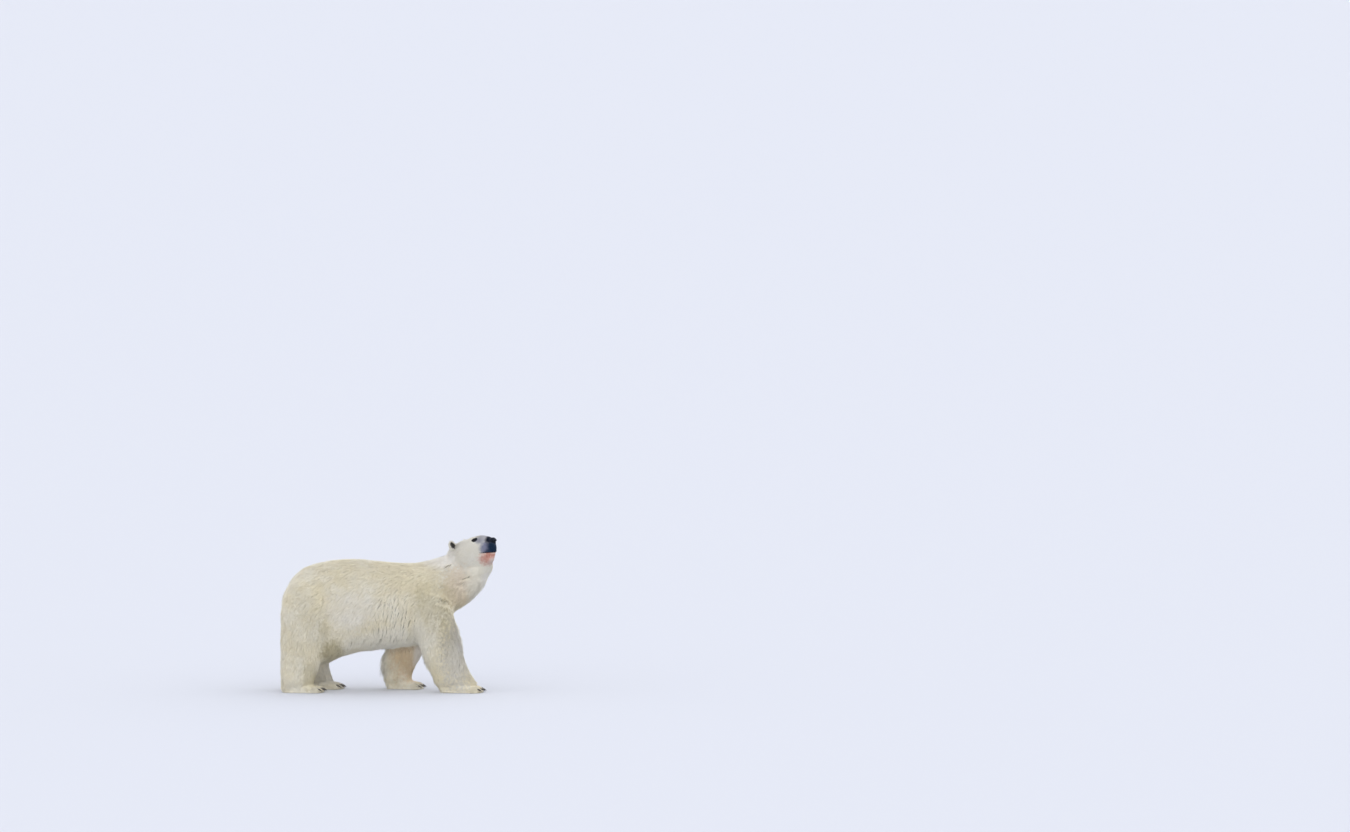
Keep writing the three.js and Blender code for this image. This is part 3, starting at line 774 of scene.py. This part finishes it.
def growLocks(roots):  # the run of every lock: root, lie, length, height and how it gathers
    p, n, rng = roots["place"], roots["normal"], roots["rng"]
    count = len(p)
    r = regions(p)
    behindEar = soft(0.1, -0.5, n @ headForward)
    depth = np.where(roots["isEar"], ear["hair"] + ear["hairBehind"] * behindEar, coatDepth(p))
    along = combing(p, n, r, roots["isEar"])
    across = np.cross(n, along)
    belly = soft(-0.1, -0.7, n[:, 2]) * (1 - r["leg"]) * (1 - r["head"])
    fringe = bellyEdge(p) * soft(0.1, -0.3, n[:, 2]) * rng.uniform(0.3, 1, count)
    length = depth * coat["lengthPerDepth"] * rng.uniform(*coat["lengthSpread"], count)
    length = length * (1 + 0.1 * fringe) + coat["stub"]
    height = depth * coat["fill"] * rng.uniform(*coat["heightSpread"], count)
    for centre, reach, longer, stand in shag:
        near = soft(reach, 0.3 * reach, np.linalg.norm(p - centre, axis=1)) * rng.uniform(0.2, 1, count)
        length, height = length * (1 + longer * near), height * (1 + stand * near)
    eyeAway = np.min([np.linalg.norm(p - eyeFrame(side)[0], axis=1) for side in (-1, 1)], axis=0)
    eyeNear = soft(0.040, 0.024, eyeAway)
    length, height = length * (1 - 0.45 * eyeNear), height * (1 - 0.65 * eyeNear)
    width = np.full(count, coat["bodyWidth"])
    for region, size in (("head", "headWidth"), ("face", "faceWidth"), ("paw", "pawWidth")):
        width = width + r[region] * (coat[size] - width)
    width = width * rng.uniform(*coat["widthSpread"], count)
    fly = rng.random(count) < coat["flyaway"] * (1 - 0.7 * r["face"]) * ~roots["isEar"]
    length, height, width = (size * np.where(fly, times, 1)
                             for size, times in zip((length, height, width), coat["flyawayTimes"]))
    wet = np.clip(wetRibs(p, n) * (0.85 + 0.5 * wobble(p, 0.12, 21)), 0, 1)
    bend = rng.normal(0, 0.09, count) + 0.10 * wobble(p, 0.05, 31)
    # locks gather sideways on the run of the nearest leading lock
    order = rng.random(count)
    leader = np.zeros(count, int)
    for group, every, stretch in ((wet <= 0.3, coat["clumpEvery"], 1),
                                  (wet > 0.3, coat["wetClumpEvery"], coat["wetStretch"])):
        members = np.nonzero(group)[0]
        leaders = members[order[members] < 1 / every]
        scaled = p * [1, 1, stretch]
        tree = kdtree.KDTree(len(leaders))
        for k, i in enumerate(leaders):
            tree.insert(scaled[i], k)
        tree.balance()
        leader[members] = leaders[[tree.find(scaled[m])[1] for m in members]]
    aside = ((p[leader] - p) * across).sum(1)
    amounts = {"all": 1, "wet": wet, "leg": r["leg"], "fringe": fringe, "belly": belly}
    gather = sum(share * amounts[name] for name, share in coat["gather"].items())
    gather = np.clip(gather * (1 - 0.4 * r["face"]) * rng.uniform(0.6, 1.2, count), 0, 0.9)
    droop = sum(share * amounts[name] for name, share in coat["droop"].items())
    return {
        "root": p, "along": along, "across": across, "normal": n, "length": length, "height": height,
        "width": width, "bend": bend, "pull": np.clip(aside, -0.03, 0.03) * gather,
        "droop": length * coat["droopShare"] * droop,
        "leaderTint": rng.random(count)[leader], "tint": rng.random(count), "wet": wet,
        "inner": roots["inner"] * roots["isEar"], "isEar": roots["isEar"] * 1.0, "region": r,
        # painted shade of the fold under the lock's middle
        "creaseShade": creaseAt(p + along * length[:, None] * 0.5),
    }


def lockPoints(locks, chosen):  # the rings of every chosen lock, and its tip
    k = {name: value[chosen][:, None] if value.ndim == 1 else value[chosen]
         for name, value in locks.items() if name != "region"}

    def spine(u):
        out = k["root"] + k["along"] * k["length"] * u
        out = out + k["across"] * (k["bend"] * k["length"] * u * u + k["pull"] * u)
        out = out + k["normal"] * (k["height"] * (1 - (1 - u) ** 1.7) - 0.0015)
        return out - np.array([0, 0, 1]) * k["droop"] * u * u

    rings = []
    for u, share in coat["rings"]:
        half, lift = k["across"] * k["width"] * 0.5 * share, k["normal"] * k["width"] * 0.30 * share
        rings.append(np.stack([spine(u) - half, spine(u) + half, spine(u) + lift], axis=1))
    return np.concatenate(rings + [spine(1.0)[:, None, :]], axis=1)


def lockFaces(ringCount):  # one lock: rings of three points, closed at the root, ending in a tip
    faces = [(0, 2, 1)]
    for k in range(0, 3 * (ringCount - 1), 3):
        for a, b in ((0, 1), (1, 2), (2, 0)):
            faces += [(k + a, k + b, k + 3 + b), (k + a, k + 3 + b, k + 3 + a)]
    k = 3 * (ringCount - 1)
    return np.array(faces + [(k, k + 1, k + 3), (k + 1, k + 2, k + 3), (k + 2, k, k + 3)])


def coatPiece(name, roots, locks, chosen):
    verts = lockPoints(locks, chosen)
    verts[:, :, 2] = np.maximum(verts[:, :, 2], 0.0006)
    count, size = verts.shape[:2]
    ringAlong = np.append(np.repeat([u for u, share in coat["rings"]], 3), 1.0)
    ringAcross = np.append(np.tile([0, 1, 0.5], len(coat["rings"])), 0.5)
    mesh = bpy.data.meshes.new(name)
    faces = (lockFaces(len(coat["rings"]))[None] + (np.arange(count) * size)[:, None, None]).reshape(-1)
    mesh.vertices.add(count * size)
    mesh.vertices.foreach_set("co", verts.astype(np.float32).ravel())
    mesh.loops.add(len(faces))
    mesh.loops.foreach_set("vertex_index", faces.astype(np.int32))
    mesh.polygons.add(len(faces) // 3)
    mesh.polygons.foreach_set("loop_start", np.arange(0, len(faces), 3, dtype=np.int32))
    mesh.update(calc_edges=True)
    mesh.polygons.foreach_set("use_smooth", np.ones(len(faces) // 3, bool))
    corner, owner = faces % size, faces // size
    spot = np.stack([ringAcross[corner] - 0.5, ringAlong[corner] - 0.5], axis=1) * coat["patch"]
    layer = mesh.uv_layers.new(name="OFBake")
    layer.data.foreach_set("uv", (roots["uv"][chosen][owner] + spot).astype(np.float32).ravel())
    tint = locks["tint"][chosen]
    strand = mesh.uv_layers.new(name="strand")
    strandUv = np.stack([ringAcross[corner] + tint[owner] * 40, ringAlong[corner]], axis=1)
    strand.data.foreach_set("uv", strandUv.astype(np.float32).ravel())
    setAttribute(mesh, "tint", np.repeat(0.5 * tint + 0.5 * locks["leaderTint"][chosen], size))
    setAttribute(mesh, "along", np.tile(ringAlong, count))
    for key in ("wet", "creaseShade", "inner"):
        setAttribute(mesh, key, np.repeat(locks[key][chosen], size))
    piece = bpy.data.objects.new(name, mesh)
    bpy.context.scene.collection.objects.link(piece)
    own = readNormals(mesh).reshape(count, size, 3)
    share = 0.5 + 0.45 * locks["isEar"][chosen][:, None, None]
    softened = unit(own * share + locks["normal"][chosen][:, None, :] * (1 - share)).reshape(-1, 3)
    mesh.normals_split_custom_set_from_vertices(softened)  # the coat shades as one surface, ears most by lock
    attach(piece, "root")
    print("  ", name, count, "locks,", len(faces) // 3, "triangles")
    return piece


# where the coat's pieces part, in metres forwards, or upwards for the legs
partings = {"face": -0.06, "neck": 0.48, "shoulder": 0.1, "rump": -0.48, "legs": -0.2, "legTop": 0.44}


def coatGroups(roots, locks):  # the locks of each piece of coat, each piece light enough for the export
    x, y, z = roots["place"].T
    onHead = (locks["region"]["head"] > 0.5) | roots["isEar"]
    onFace = onHead & (toHead(roots["place"])[:, 0] > partings["face"])
    lowLeg = (z < partings["legTop"]) & ~onHead & ((np.abs(y) > 0.09) | (z < 0.2))
    neck = (x > partings["neck"]) & ~onHead & ~lowLeg
    trunk = ~(onHead | lowLeg | neck)
    groups = {"coatFace": onFace, "coatHead": onHead & ~onFace, "coatNeck": neck}
    for name, onSide in (("Right", y < 0), ("Left", y >= 0)):
        groups["coatForeleg" + name] = lowLeg & onSide & (x > partings["legs"])
        groups["coatHindleg" + name] = lowLeg & onSide & (x <= partings["legs"])
        groups["coatShoulder" + name] = trunk & onSide & (x > partings["shoulder"])
        groups["coatFlank" + name] = trunk & onSide & (x <= partings["shoulder"]) & (x > partings["rump"])
        groups["coatRump" + name] = trunk & onSide & (x <= partings["rump"])
    return groups


damp = wetRibs(skinPoints, skinNormals)
# painted shade: the hide darkens in its folds and under the damp clumps, where the gaps between clumps lie in
# shade
setAttribute(skinMesh, "creaseShade", np.maximum(creaseAt(skinPoints), 0.5 * damp))
roots = scatterRoots()
print("stage: roots,", len(roots["place"]))
locks = growLocks(roots)
coatPieces = [coatPiece(name, roots, locks, mask) for name, mask in coatGroups(roots, locks).items()]
print("stage: coat")

# materials


def addNode(tree, kind, settings=None, inputs=None):  # inputs: values, sockets, or nodes for their first output
    node = tree.nodes.new(kind)
    for key, value in (settings or {}).items():
        setattr(node, key, value)
    for key, value in (inputs or {}).items():
        if isinstance(value, bpy.types.Node):
            value = next(socket for socket in value.outputs if socket.enabled)
        if isinstance(value, bpy.types.NodeSocket):
            tree.links.new(value, node.inputs[key])
        else:
            node.inputs[key].default_value = value
    return node


def newMaterial(name, look, *choices):  # look adds its nodes and returns what goes into the shader
    material = bpy.data.materials.new(name)
    material.use_nodes = True
    tree = material.node_tree
    tree.nodes.clear()
    shader = addNode(tree, "ShaderNodeBsdfPrincipled", {}, look(tree, *choices))
    addNode(tree, "ShaderNodeOutputMaterial", {}, {"Surface": shader})
    return material


colourMix = {"data_type": "RGBA"}  # of such a mix, socket 0 is the share, 6 and 7 are the colours
colourTimes = {"data_type": "RGBA", "blend_type": "MULTIPLY"}

coatColours = {
    "cream": "#f7f1dd",
    "creamDeep": "#efe4c3",
    "snow": "#faf6ee",
    "white": "#e3e1da",
    # olive: yellowish stain; in some markings painted shade behind the elbow and low on the near hind leg
    "olive": "#b8aa78",
    # tan: warm tone; on the far foreleg partly painted warm shade
    "tan": "#cfa56b",
    # grey: painted shade on the far hind leg, painted shade and reflection on the near foreleg's front
    "grey": "#c2c0bd",
    "muzzleGrey": "#74778f",
    "muzzleDark": "#14273e",
    "noseBack": "#0c1424",
    "lipBlack": "#0d0f16",
    "stain": "#cc9282",
    "stainDeep": "#a5604f",
    "eyeRim": "#07070b",
    "earInner": "#0e0d0e",
    "earHair": "#1b1919",
    "pad": "#2a2523",
    # fold: painted shade in the folds of the hide and between the damp clumps
    "fold": "#857c60",
}

# noise in the coat's colour: waves to a metre, detail, roughness
coatNoise = {"broad": (3.2, 4.0, 0.6), "blotch": (14.0, 3.0, 0.6), "ragged": (42.0, 2.0, 0.5)}

# soft-edged ellipsoids of colour: whose axes, centre, half sizes, colour, strength, how ragged, which side of
# the lip line (1 above, -1 below, 0 both), and how soft the edge is where not the usual
usualBlur = 0.35
markings = [
    ("head", (-0.20, 0, -0.10), (0.44, 0.34, 0.38), "white", 0.62, 0.25, 0),
    ("body", (0.67, -0.18, 1.00), (0.18, 0.30, 0.22), "tan", 0.30, 0.6, 0),
    # cream on the throat's shaded underside, lighter to lift its shade: painted light
    ("body", (0.86, -0.10, 1.06), (0.15, 0.34, 0.22), "cream", 0.75, 0.3, 0),
    ("body", (0.44, -0.20, 0.86), (0.22, 0.24, 0.28), "olive", 0.40, 0.6, 0),
    ("body", (0.20, 0.0, 1.12), (0.44, 0.40, 0.24), "creamDeep", 0.80, 0.5, 0),
    ("body", (-0.53, -0.20, 0.37), (0.11, 0.22, 0.16), "olive", 0.60, 0.5, 0),
    # olive behind the near elbow: painted shade at the end of the ribs
    ("body", (0.235, -0.22, 0.53), (0.06, 0.20, 0.12), "olive", 0.40, 0.5, 0),
    ("body", (0.49, 0.0, 1.28), (0.20, 0.34, 0.11), "snow", 0.50, 0.4, 0),
    ("body", (0.93, -0.04, 1.10), (0.07, 0.20, 0.18), "snow", 0.60, 0.3, 0),
    ("body", (0.86, 0.04, 0.82), (0.15, 0.21, 0.24), "white", 0.55, 0.4, 0),
    # cream on the near lower flank and belly, lighter and warmer to lift their shade: partly painted light
    ("body", (-0.05, -0.20, 0.50), (0.36, 0.34, 0.12), "cream", 0.75, 0.4, 0),
    ("body", (-0.38, -0.30, 0.80), (0.26, 0.20, 0.20), "snow", 0.35, 0.5, 0),
    ("body", (-0.53, 0.20, 0.36), (0.14, 0.22, 0.14), "olive", 0.50, 0.5, 0),
    ("body", (-0.62, -0.26, 0.50), (0.06, 0.14, 0.26), "olive", 0.26, 0.7, 0),
    ("body", (-0.76, -0.24, 0.84), (0.16, 0.16, 0.28), "olive", 0.16, 0.7, 0),
    # olive low on the front of the near hind leg: painted shade
    ("body", (-0.76, -0.20, 0.16), (0.09, 0.16, 0.18), "olive", 0.34, 0.5, 0),
    ("body", (0.34, -0.28, 0.99), (0.09, 0.12, 0.13), "olive", 0.20, 0.9, 0),
    ("body", (0.36, 0.28, 0.95), (0.10, 0.12, 0.12), "olive", 0.30, 0.9, 0),
    ("body", (0.57, -0.22, 0.60), (0.11, 0.16, 0.22), "olive", 0.36, 1.0, 0),
    # grey on the lower front of the near foreleg: painted shade with a painted greyish reflection
    ("body", (0.66, -0.20, 0.36), (0.17, 0.30, 0.36), "grey", 0.46, 0.8, 0),
    # cream along the near foreleg's rear edge at the elbow: painted highlight
    ("body", (0.30, -0.24, 0.54), (0.09, 0.14, 0.24), "cream", 0.70, 0.4, 0),
    ("body", (0.30, 0.24, 0.62), (0.10, 0.14, 0.16), "olive", 0.25, 1.0, 0),
    ("body", (-0.80, 0.0, 0.60), (0.16, 0.50, 0.30), "creamDeep", 0.40, 0.6, 0),
    # tan on the far foreleg: partly a yellowish stain, partly painted warm shade, as the leg's inner side lies
    # in the body's shade
    ("body", (0.14, 0.20, 0.29), (0.19, 0.14, 0.32), "tan", 0.56, 0.4, 0),
    # snow along the front edge of the far foreleg: painted rim light
    ("body", (0.27, 0.20, 0.30), (0.06, 0.14, 0.18), "snow", 0.60, 0.4, 0),
    # cream on the far foreleg's rear tufts, lighter to lift their shade: painted light for the backlit tufts
    ("body", (-0.11, 0.20, 0.28), (0.10, 0.16, 0.28), "cream", 0.95, 0.3, 0),
    # grey on the far hind leg: painted shade
    ("body", (-0.64, 0.20, 0.12), (0.24, 0.15, 0.16), "grey", 0.50, 0.3, 0),
    ("head", (0.082, 0, -0.126), (0.100, 0.115, 0.082), "muzzleGrey", 0.94, 0.12, 1, 0.22),
    ("head", (0.072, 0, -0.030), (0.088, 0.100, 0.070), "muzzleGrey", 0.62, 0.12, 1),
    ("head", (0.092, 0, -0.166), (0.100, 0.115, 0.038), "muzzleDark", 0.80, 0.12, 1),
    ("head", (0.154, 0, -0.138), (0.082, 0.115, 0.088), "muzzleDark", 0.998, 0.10, 1),
    ("head", (0.121, 0, -0.064), (0.070, 0.062, 0.054), "noseBack", 0.998, 0.08, 1, 0.2),
    ("head", (0.036, 0, -0.206), (0.096, 0.12, 0.072), "stain", 0.90, 0.4, -1, 0.35),
    ("head", (0.080, 0, -0.188), (0.036, 0.12, 0.028), "stainDeep", 0.60, 0.5, -1),
    ("head", (0.105, 0, -0.285), (0.075, 0.14, 0.062), "white", 0.80, 0.4, -1),
]
markings.append(("head", tuple(toHead(middle("nose"))), (0.034, 0.040, 0.032), "eyeRim", 1.0, 0.1, 0, 0.2))
for side in (-1, 1):
    centre = toHead(eyeFrame(side)[0])
    rimPlace, greyPlace = tuple(centre + (0.003, side * 0.010, 0.007)), tuple(centre + (0.030, 0, -0.024))
    markings.append(("head", rimPlace, (0.037, 0.027, 0.0285), "eyeRim", 1.0, 0.1, 0, 0.16))
    markings.append(("head", greyPlace, (0.045, 0.030, 0.030), "muzzleGrey", 0.35, 0.2, 0))


def addMarkings(tree):  # the same colours for skin and coat, from the object's own coordinates
    where = addNode(tree, "ShaderNodeTexCoord").outputs["Object"]
    turn = Matrix(headAxes.tolist()).to_euler("XYZ")
    inHead = addNode(tree, "ShaderNodeMapping", {"vector_type": "TEXTURE"}, {
        "Vector": where, "Location": tuple(headMiddle), "Rotation": tuple(turn)})
    noise = {name: addNode(tree, "ShaderNodeTexNoise", {}, {
        "Vector": where, "Scale": scale, "Detail": detail, "Roughness": rough})
        for name, (scale, detail, rough) in coatNoise.items()}
    colour, deeper = linear(coatColours["cream"]), linear(coatColours["creamDeep"])
    for name, low, high, most in (("broad", 0.38, 0.66, 1.0), ("blotch", 0.45, 0.75, 0.35)):
        mask = addNode(tree, "ShaderNodeMapRange", {}, {
            "Value": noise[name], "From Min": low, "From Max": high, "To Max": most})
        colour = addNode(tree, "ShaderNodeMix", colourMix, {0: mask, 6: colour, 7: deeper})
    lipHeight = addNode(tree, "ShaderNodeVectorMath", {"operation": "DOT_PRODUCT"}, {
        0: inHead, 1: (-mouth["slope"], 0, 1)})
    lipLevel = mouth["corner"][1] - mouth["slope"] * mouth["corner"][0]
    lipSide = {side: addNode(tree, "ShaderNodeMapRange", {}, {
        "Value": lipHeight, "From Min": lipLevel + low, "From Max": lipLevel + high})
        for side, low, high in ((1, -0.008, -0.004), (-1, 0.001, -0.003))}
    for space, centre, halfSize, name, strength, rough, lips, *edgeBlur in markings:
        blur = edgeBlur[0] if edgeBlur else usualBlur
        offset = addNode(tree, "ShaderNodeVectorMath", {"operation": "SUBTRACT"}, {
            0: inHead if space == "head" else where, 1: centre})
        ratio = addNode(tree, "ShaderNodeVectorMath", {"operation": "DIVIDE"}, {0: offset, 1: halfSize})
        reach = addNode(tree, "ShaderNodeVectorMath", {"operation": "LENGTH"}, {0: ratio})
        jitter = addNode(tree, "ShaderNodeMath", {"operation": "MULTIPLY_ADD"}, {
            0: noise["ragged"], 1: rough * 2, 2: -rough})
        edge = addNode(tree, "ShaderNodeMath", {"operation": "ADD"}, {0: reach, 1: jitter})
        mask = addNode(tree, "ShaderNodeMapRange", {"interpolation_type": "SMOOTHSTEP"}, {
            "Value": edge, "From Min": 0.9 + blur, "From Max": 0.9 - blur, "To Max": strength})
        if lips:
            mask = addNode(tree, "ShaderNodeMath", {"operation": "MULTIPLY"}, {0: mask, 1: lipSide[lips]})
        colour = addNode(tree, "ShaderNodeMix", colourMix, {0: mask, 6: colour, 7: linear(coatColours[name])})
    # painted shade: the folds and the gaps between damp clumps darken towards the fold colour
    creaseShade = addNode(tree, "ShaderNodeAttribute", {"attribute_name": "creaseShade"}).outputs["Fac"]
    foldShade = addNode(tree, "ShaderNodeMapRange", {}, {
        "Value": creaseShade, "From Min": 0.25, "From Max": 0.9, "To Max": 0.75})
    return addNode(tree, "ShaderNodeMix", colourMix, {0: foldShade, 6: colour, 7: linear(coatColours["fold"])})


def furLook(tree, sheen):  # guard hair: hollow, colourless hairs that read as warm white with a soft sheen
    tint, along, wet, inner = (addNode(tree, "ShaderNodeAttribute", {"attribute_name": name}).outputs["Fac"]
                               for name in ("tint", "along", "wet", "inner"))
    shade = addNode(tree, "ShaderNodeMapRange", {}, {"Value": tint, "To Min": 0.92, "To Max": 1.02})
    # painted shade: each lock darker at its root, much darker in damp clumps, where the gaps between them lie
    # in shade
    rootShade = addNode(tree, "ShaderNodeMapRange", {}, {"Value": wet, "To Min": 0.97, "To Max": 0.46})
    depth = addNode(tree, "ShaderNodeMapRange", {}, {"Value": along, "From Max": 0.55, "To Min": rootShade})
    both = addNode(tree, "ShaderNodeMath", {"operation": "MULTIPLY"}, {0: shade, 1: depth})
    grey = addNode(tree, "ShaderNodeCombineColor", {}, {0: both, 1: both, 2: both})
    colour = addNode(tree, "ShaderNodeMix", colourTimes, {0: 1.0, 6: addMarkings(tree), 7: grey})
    dusky = addNode(tree, "ShaderNodeMapRange", {}, {
        "Value": inner, "From Min": 0.2, "From Max": 0.7, "To Max": 0.9})
    colour = addNode(tree, "ShaderNodeMix", colourMix, {0: dusky, 6: colour, 7: linear(coatColours["earHair"])})
    strandMap = addNode(tree, "ShaderNodeUVMap", {"uv_map": "strand"})
    stretch = addNode(tree, "ShaderNodeMapping", {}, {"Vector": strandMap, "Scale": (7.0, 0.7, 1.0)})
    hairs = addNode(tree, "ShaderNodeTexNoise", {}, {
        "Vector": stretch, "Scale": 1.0, "Detail": 2.0, "Roughness": 0.6})
    bump = addNode(tree, "ShaderNodeBump", {}, {"Height": hairs, "Strength": 0.5, "Distance": 0.002})
    return {"Base Color": colour, "Normal": bump, "Roughness": 0.66,
            "Specular IOR Level": 0.2 * min(1, 3 * sheen), "Sheen Weight": sheen, "Sheen Roughness": 0.5}


def skinLook(tree):  # hide under the coat: fine underfur that lies flat, black bare skin at eyes, lips and pads
    colour = addNode(tree, "ShaderNodeMix", colourTimes, {
        0: 1.0, 6: addMarkings(tree), 7: (0.98, 0.97, 0.95, 1)})
    for name, dark in (("rim", "eyeRim"), ("lip", "lipBlack"), ("earInner", "earInner"), ("pad", "pad")):
        bare = addNode(tree, "ShaderNodeAttribute", {"attribute_name": name}).outputs["Fac"]
        edge = addNode(tree, "ShaderNodeMapRange", {}, {"Value": bare, "From Min": 0.15, "From Max": 0.65})
        colour = addNode(tree, "ShaderNodeMix", colourMix, {0: edge, 6: colour, 7: linear(coatColours[dark])})
    where = addNode(tree, "ShaderNodeTexCoord").outputs["Object"]
    stretch = addNode(tree, "ShaderNodeMapping", {}, {"Vector": where, "Scale": (160.0, 420.0, 160.0)})
    nap = addNode(tree, "ShaderNodeTexNoise", {}, {
        "Vector": stretch, "Scale": 1.0, "Detail": 3.0, "Roughness": 0.65})
    bump = addNode(tree, "ShaderNodeBump", {}, {"Height": nap, "Strength": 0.5, "Distance": 0.002})
    return {"Base Color": colour, "Normal": bump, "Roughness": 0.7, "Specular IOR Level": 0.2,
            "Sheen Weight": 0.05, "Sheen Roughness": 0.5}


def noseLook(tree):  # nose leather: black, pebbled in 1.5 mm grains, with a faint damp shine
    where = addNode(tree, "ShaderNodeTexCoord").outputs["Object"]
    pebbles = addNode(tree, "ShaderNodeTexVoronoi", {"feature": "F1"}, {"Vector": where, "Scale": 620.0})
    cloud = addNode(tree, "ShaderNodeTexNoise", {}, {"Vector": where, "Scale": 60.0, "Detail": 3.0})
    dark, light = (linear(shade) for shade in nose["leather"])
    colour = addNode(tree, "ShaderNodeMix", colourMix, {0: cloud, 6: dark, 7: light})
    hollow = addNode(tree, "ShaderNodeAttribute", {"attribute_name": "hollow"}).outputs["Fac"]
    colour = addNode(tree, "ShaderNodeMix", colourMix, {0: hollow, 6: colour, 7: linear(nose["nostrilBlack"])})
    bump = addNode(tree, "ShaderNodeBump", {"invert": True}, {
        "Height": pebbles, "Strength": 0.45, "Distance": 0.0008})
    return {"Base Color": colour, "Normal": bump, "Roughness": 0.46, "Specular IOR Level": 0.14,
            "Coat Weight": 0.02, "Coat Roughness": 0.2}


def eyeLook(tree, side):  # wet eye: dark brown iris round a black pupil under a clear cornea
    centre, across, up, out = eyeFrame(side)
    apex = centre + out * (eye["radius"] + eye["corneaRise"])
    where = addNode(tree, "ShaderNodeTexCoord").outputs["Object"]
    reach = addNode(tree, "ShaderNodeVectorMath", {"operation": "DISTANCE"}, {0: where, 1: tuple(apex)})
    grain = addNode(tree, "ShaderNodeTexNoise", {}, {"Vector": where, "Scale": 900.0, "Detail": 2.0})
    dark, light = (linear(shade) for shade in eye["iris"])
    iris = addNode(tree, "ShaderNodeMix", colourMix, {0: grain, 6: dark, 7: light})
    pastPupil, pastIris = (
        addNode(tree, "ShaderNodeMapRange", {}, {"Value": reach, "From Min": low, "From Max": high})
        for low, high in (eye["pupilEdge"], eye["irisEdge"]))
    colour = addNode(tree, "ShaderNodeMix", colourMix, {0: pastPupil, 6: linear(eye["pupil"]), 7: iris})
    colour = addNode(tree, "ShaderNodeMix", colourMix, {0: pastIris, 6: colour, 7: linear(eye["white"])})
    return {"Base Color": colour, "Roughness": 0.06, "IOR": 1.34, "Specular IOR Level": 0.32}


def clawLook(tree):  # keratin: near black with browner streaks along a fine lengthwise grain
    where = addNode(tree, "ShaderNodeTexCoord").outputs["Object"]
    grain = addNode(tree, "ShaderNodeMapping", {}, {"Vector": where, "Scale": (60.0, 900.0, 300.0)})
    lines = addNode(tree, "ShaderNodeTexNoise", {}, {"Vector": grain, "Scale": 1.0, "Detail": 3.0})
    dark, light = (linear(shade) for shade in clawHorn)
    colour = addNode(tree, "ShaderNodeMix", colourMix, {0: lines, 6: dark, 7: light})
    bump = addNode(tree, "ShaderNodeBump", {}, {"Height": lines, "Strength": 0.25, "Distance": 0.0005})
    return {"Base Color": colour, "Normal": bump, "Roughness": 0.34, "IOR": 1.54}


bodyFur = newMaterial("polarBearFur", furLook, 0.34)
headFur = newMaterial("polarBearFaceFur", furLook, 0.03)
for piece in coatPieces:
    piece.data.materials.append(headFur if piece.name in ("coatFace", "coatHead") else bodyFur)
skinMesh.materials.append(newMaterial("polarBearHide", skinLook))
nosePad.data.materials.append(newMaterial("noseLeather", noseLook))
for side, ball, name in zip((-1, 1), eyeballs, ("eyeWetRight", "eyeWetLeft")):
    ball.data.materials.append(newMaterial(name, eyeLook, side))
claws.data.materials.append(newMaterial("clawHorn", clawLook))
for piece in [skin, nosePad, claws] + eyeballs:
    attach(piece, "root")
print("stage: materials")

# floor, light and camera

studio = {
    "floorSize": 4000,
    "floorColour": "#dadce0",
    "skyColour": "#eaedf9",
    "skyStrength": 1.0,
    "sunColour": (1.0, 0.99, 0.97),
    "sunHeight": 6,
    "sunAngle": 75,
    # strength, tilt from overhead and turn, in degrees
    "suns": ((0.92, 83, -8), (0.66, -58, -45), (0.80, 82, 70), (0.90, 80, -80)),
    "frameWidth": 12.96,  # metres across the view at the bear
    "aim": (2.7474, 0.0, 2.645),
    "distance": 80,
    "elevation": 3.5,  # degrees
    "sensor": 36,
    "clipEnd": 6000,
}


def floorLook(tree):  # matt painted board: pale, with almost no shine
    return {"Base Color": linear(studio["floorColour"]), "Roughness": 0.95, "Specular IOR Level": 0.1}


def makeStudio():
    bpy.ops.object.select_all(action="DESELECT")
    bpy.ops.mesh.primitive_plane_add(size=studio["floorSize"], location=(0, 0, 0))
    floor = bpy.context.active_object
    floor.name = "floor"
    floor.data.materials.append(newMaterial("paleFloor", floorLook))

    world = bpy.data.worlds.new("paleSky")
    bpy.context.scene.world = world
    world.use_nodes = True
    world.node_tree.nodes.clear()
    sky = addNode(world.node_tree, "ShaderNodeBackground", {}, {
        "Color": linear(studio["skyColour"]), "Strength": studio["skyStrength"]})
    addNode(world.node_tree, "ShaderNodeOutputWorld", {}, {"Surface": sky})

    for strength, tilt, turn in studio["suns"]:
        bpy.ops.object.light_add(type="SUN", location=(0, 0, studio["sunHeight"]),
                                 rotation=(math.radians(tilt), 0, math.radians(turn)))
        sun = bpy.context.active_object
        sun.data.energy = strength
        sun.data.color = studio["sunColour"]
        sun.data.angle = math.radians(studio["sunAngle"])

    angle = math.radians(studio["elevation"])
    aim = Vector(studio["aim"])
    place = aim + Vector((0, -math.cos(angle), math.sin(angle))) * studio["distance"]
    bpy.ops.object.camera_add(location=place, rotation=(math.pi / 2 - angle, 0, 0))
    camera = bpy.context.active_object
    camera.data.sensor_width = studio["sensor"]
    camera.data.lens = studio["sensor"] * studio["distance"] / studio["frameWidth"]
    camera.data.clip_end = studio["clipEnd"]
    bpy.context.scene.camera = camera
    bpy.context.scene.view_settings.view_transform = "Standard"


makeStudio()
print("stage: studio")
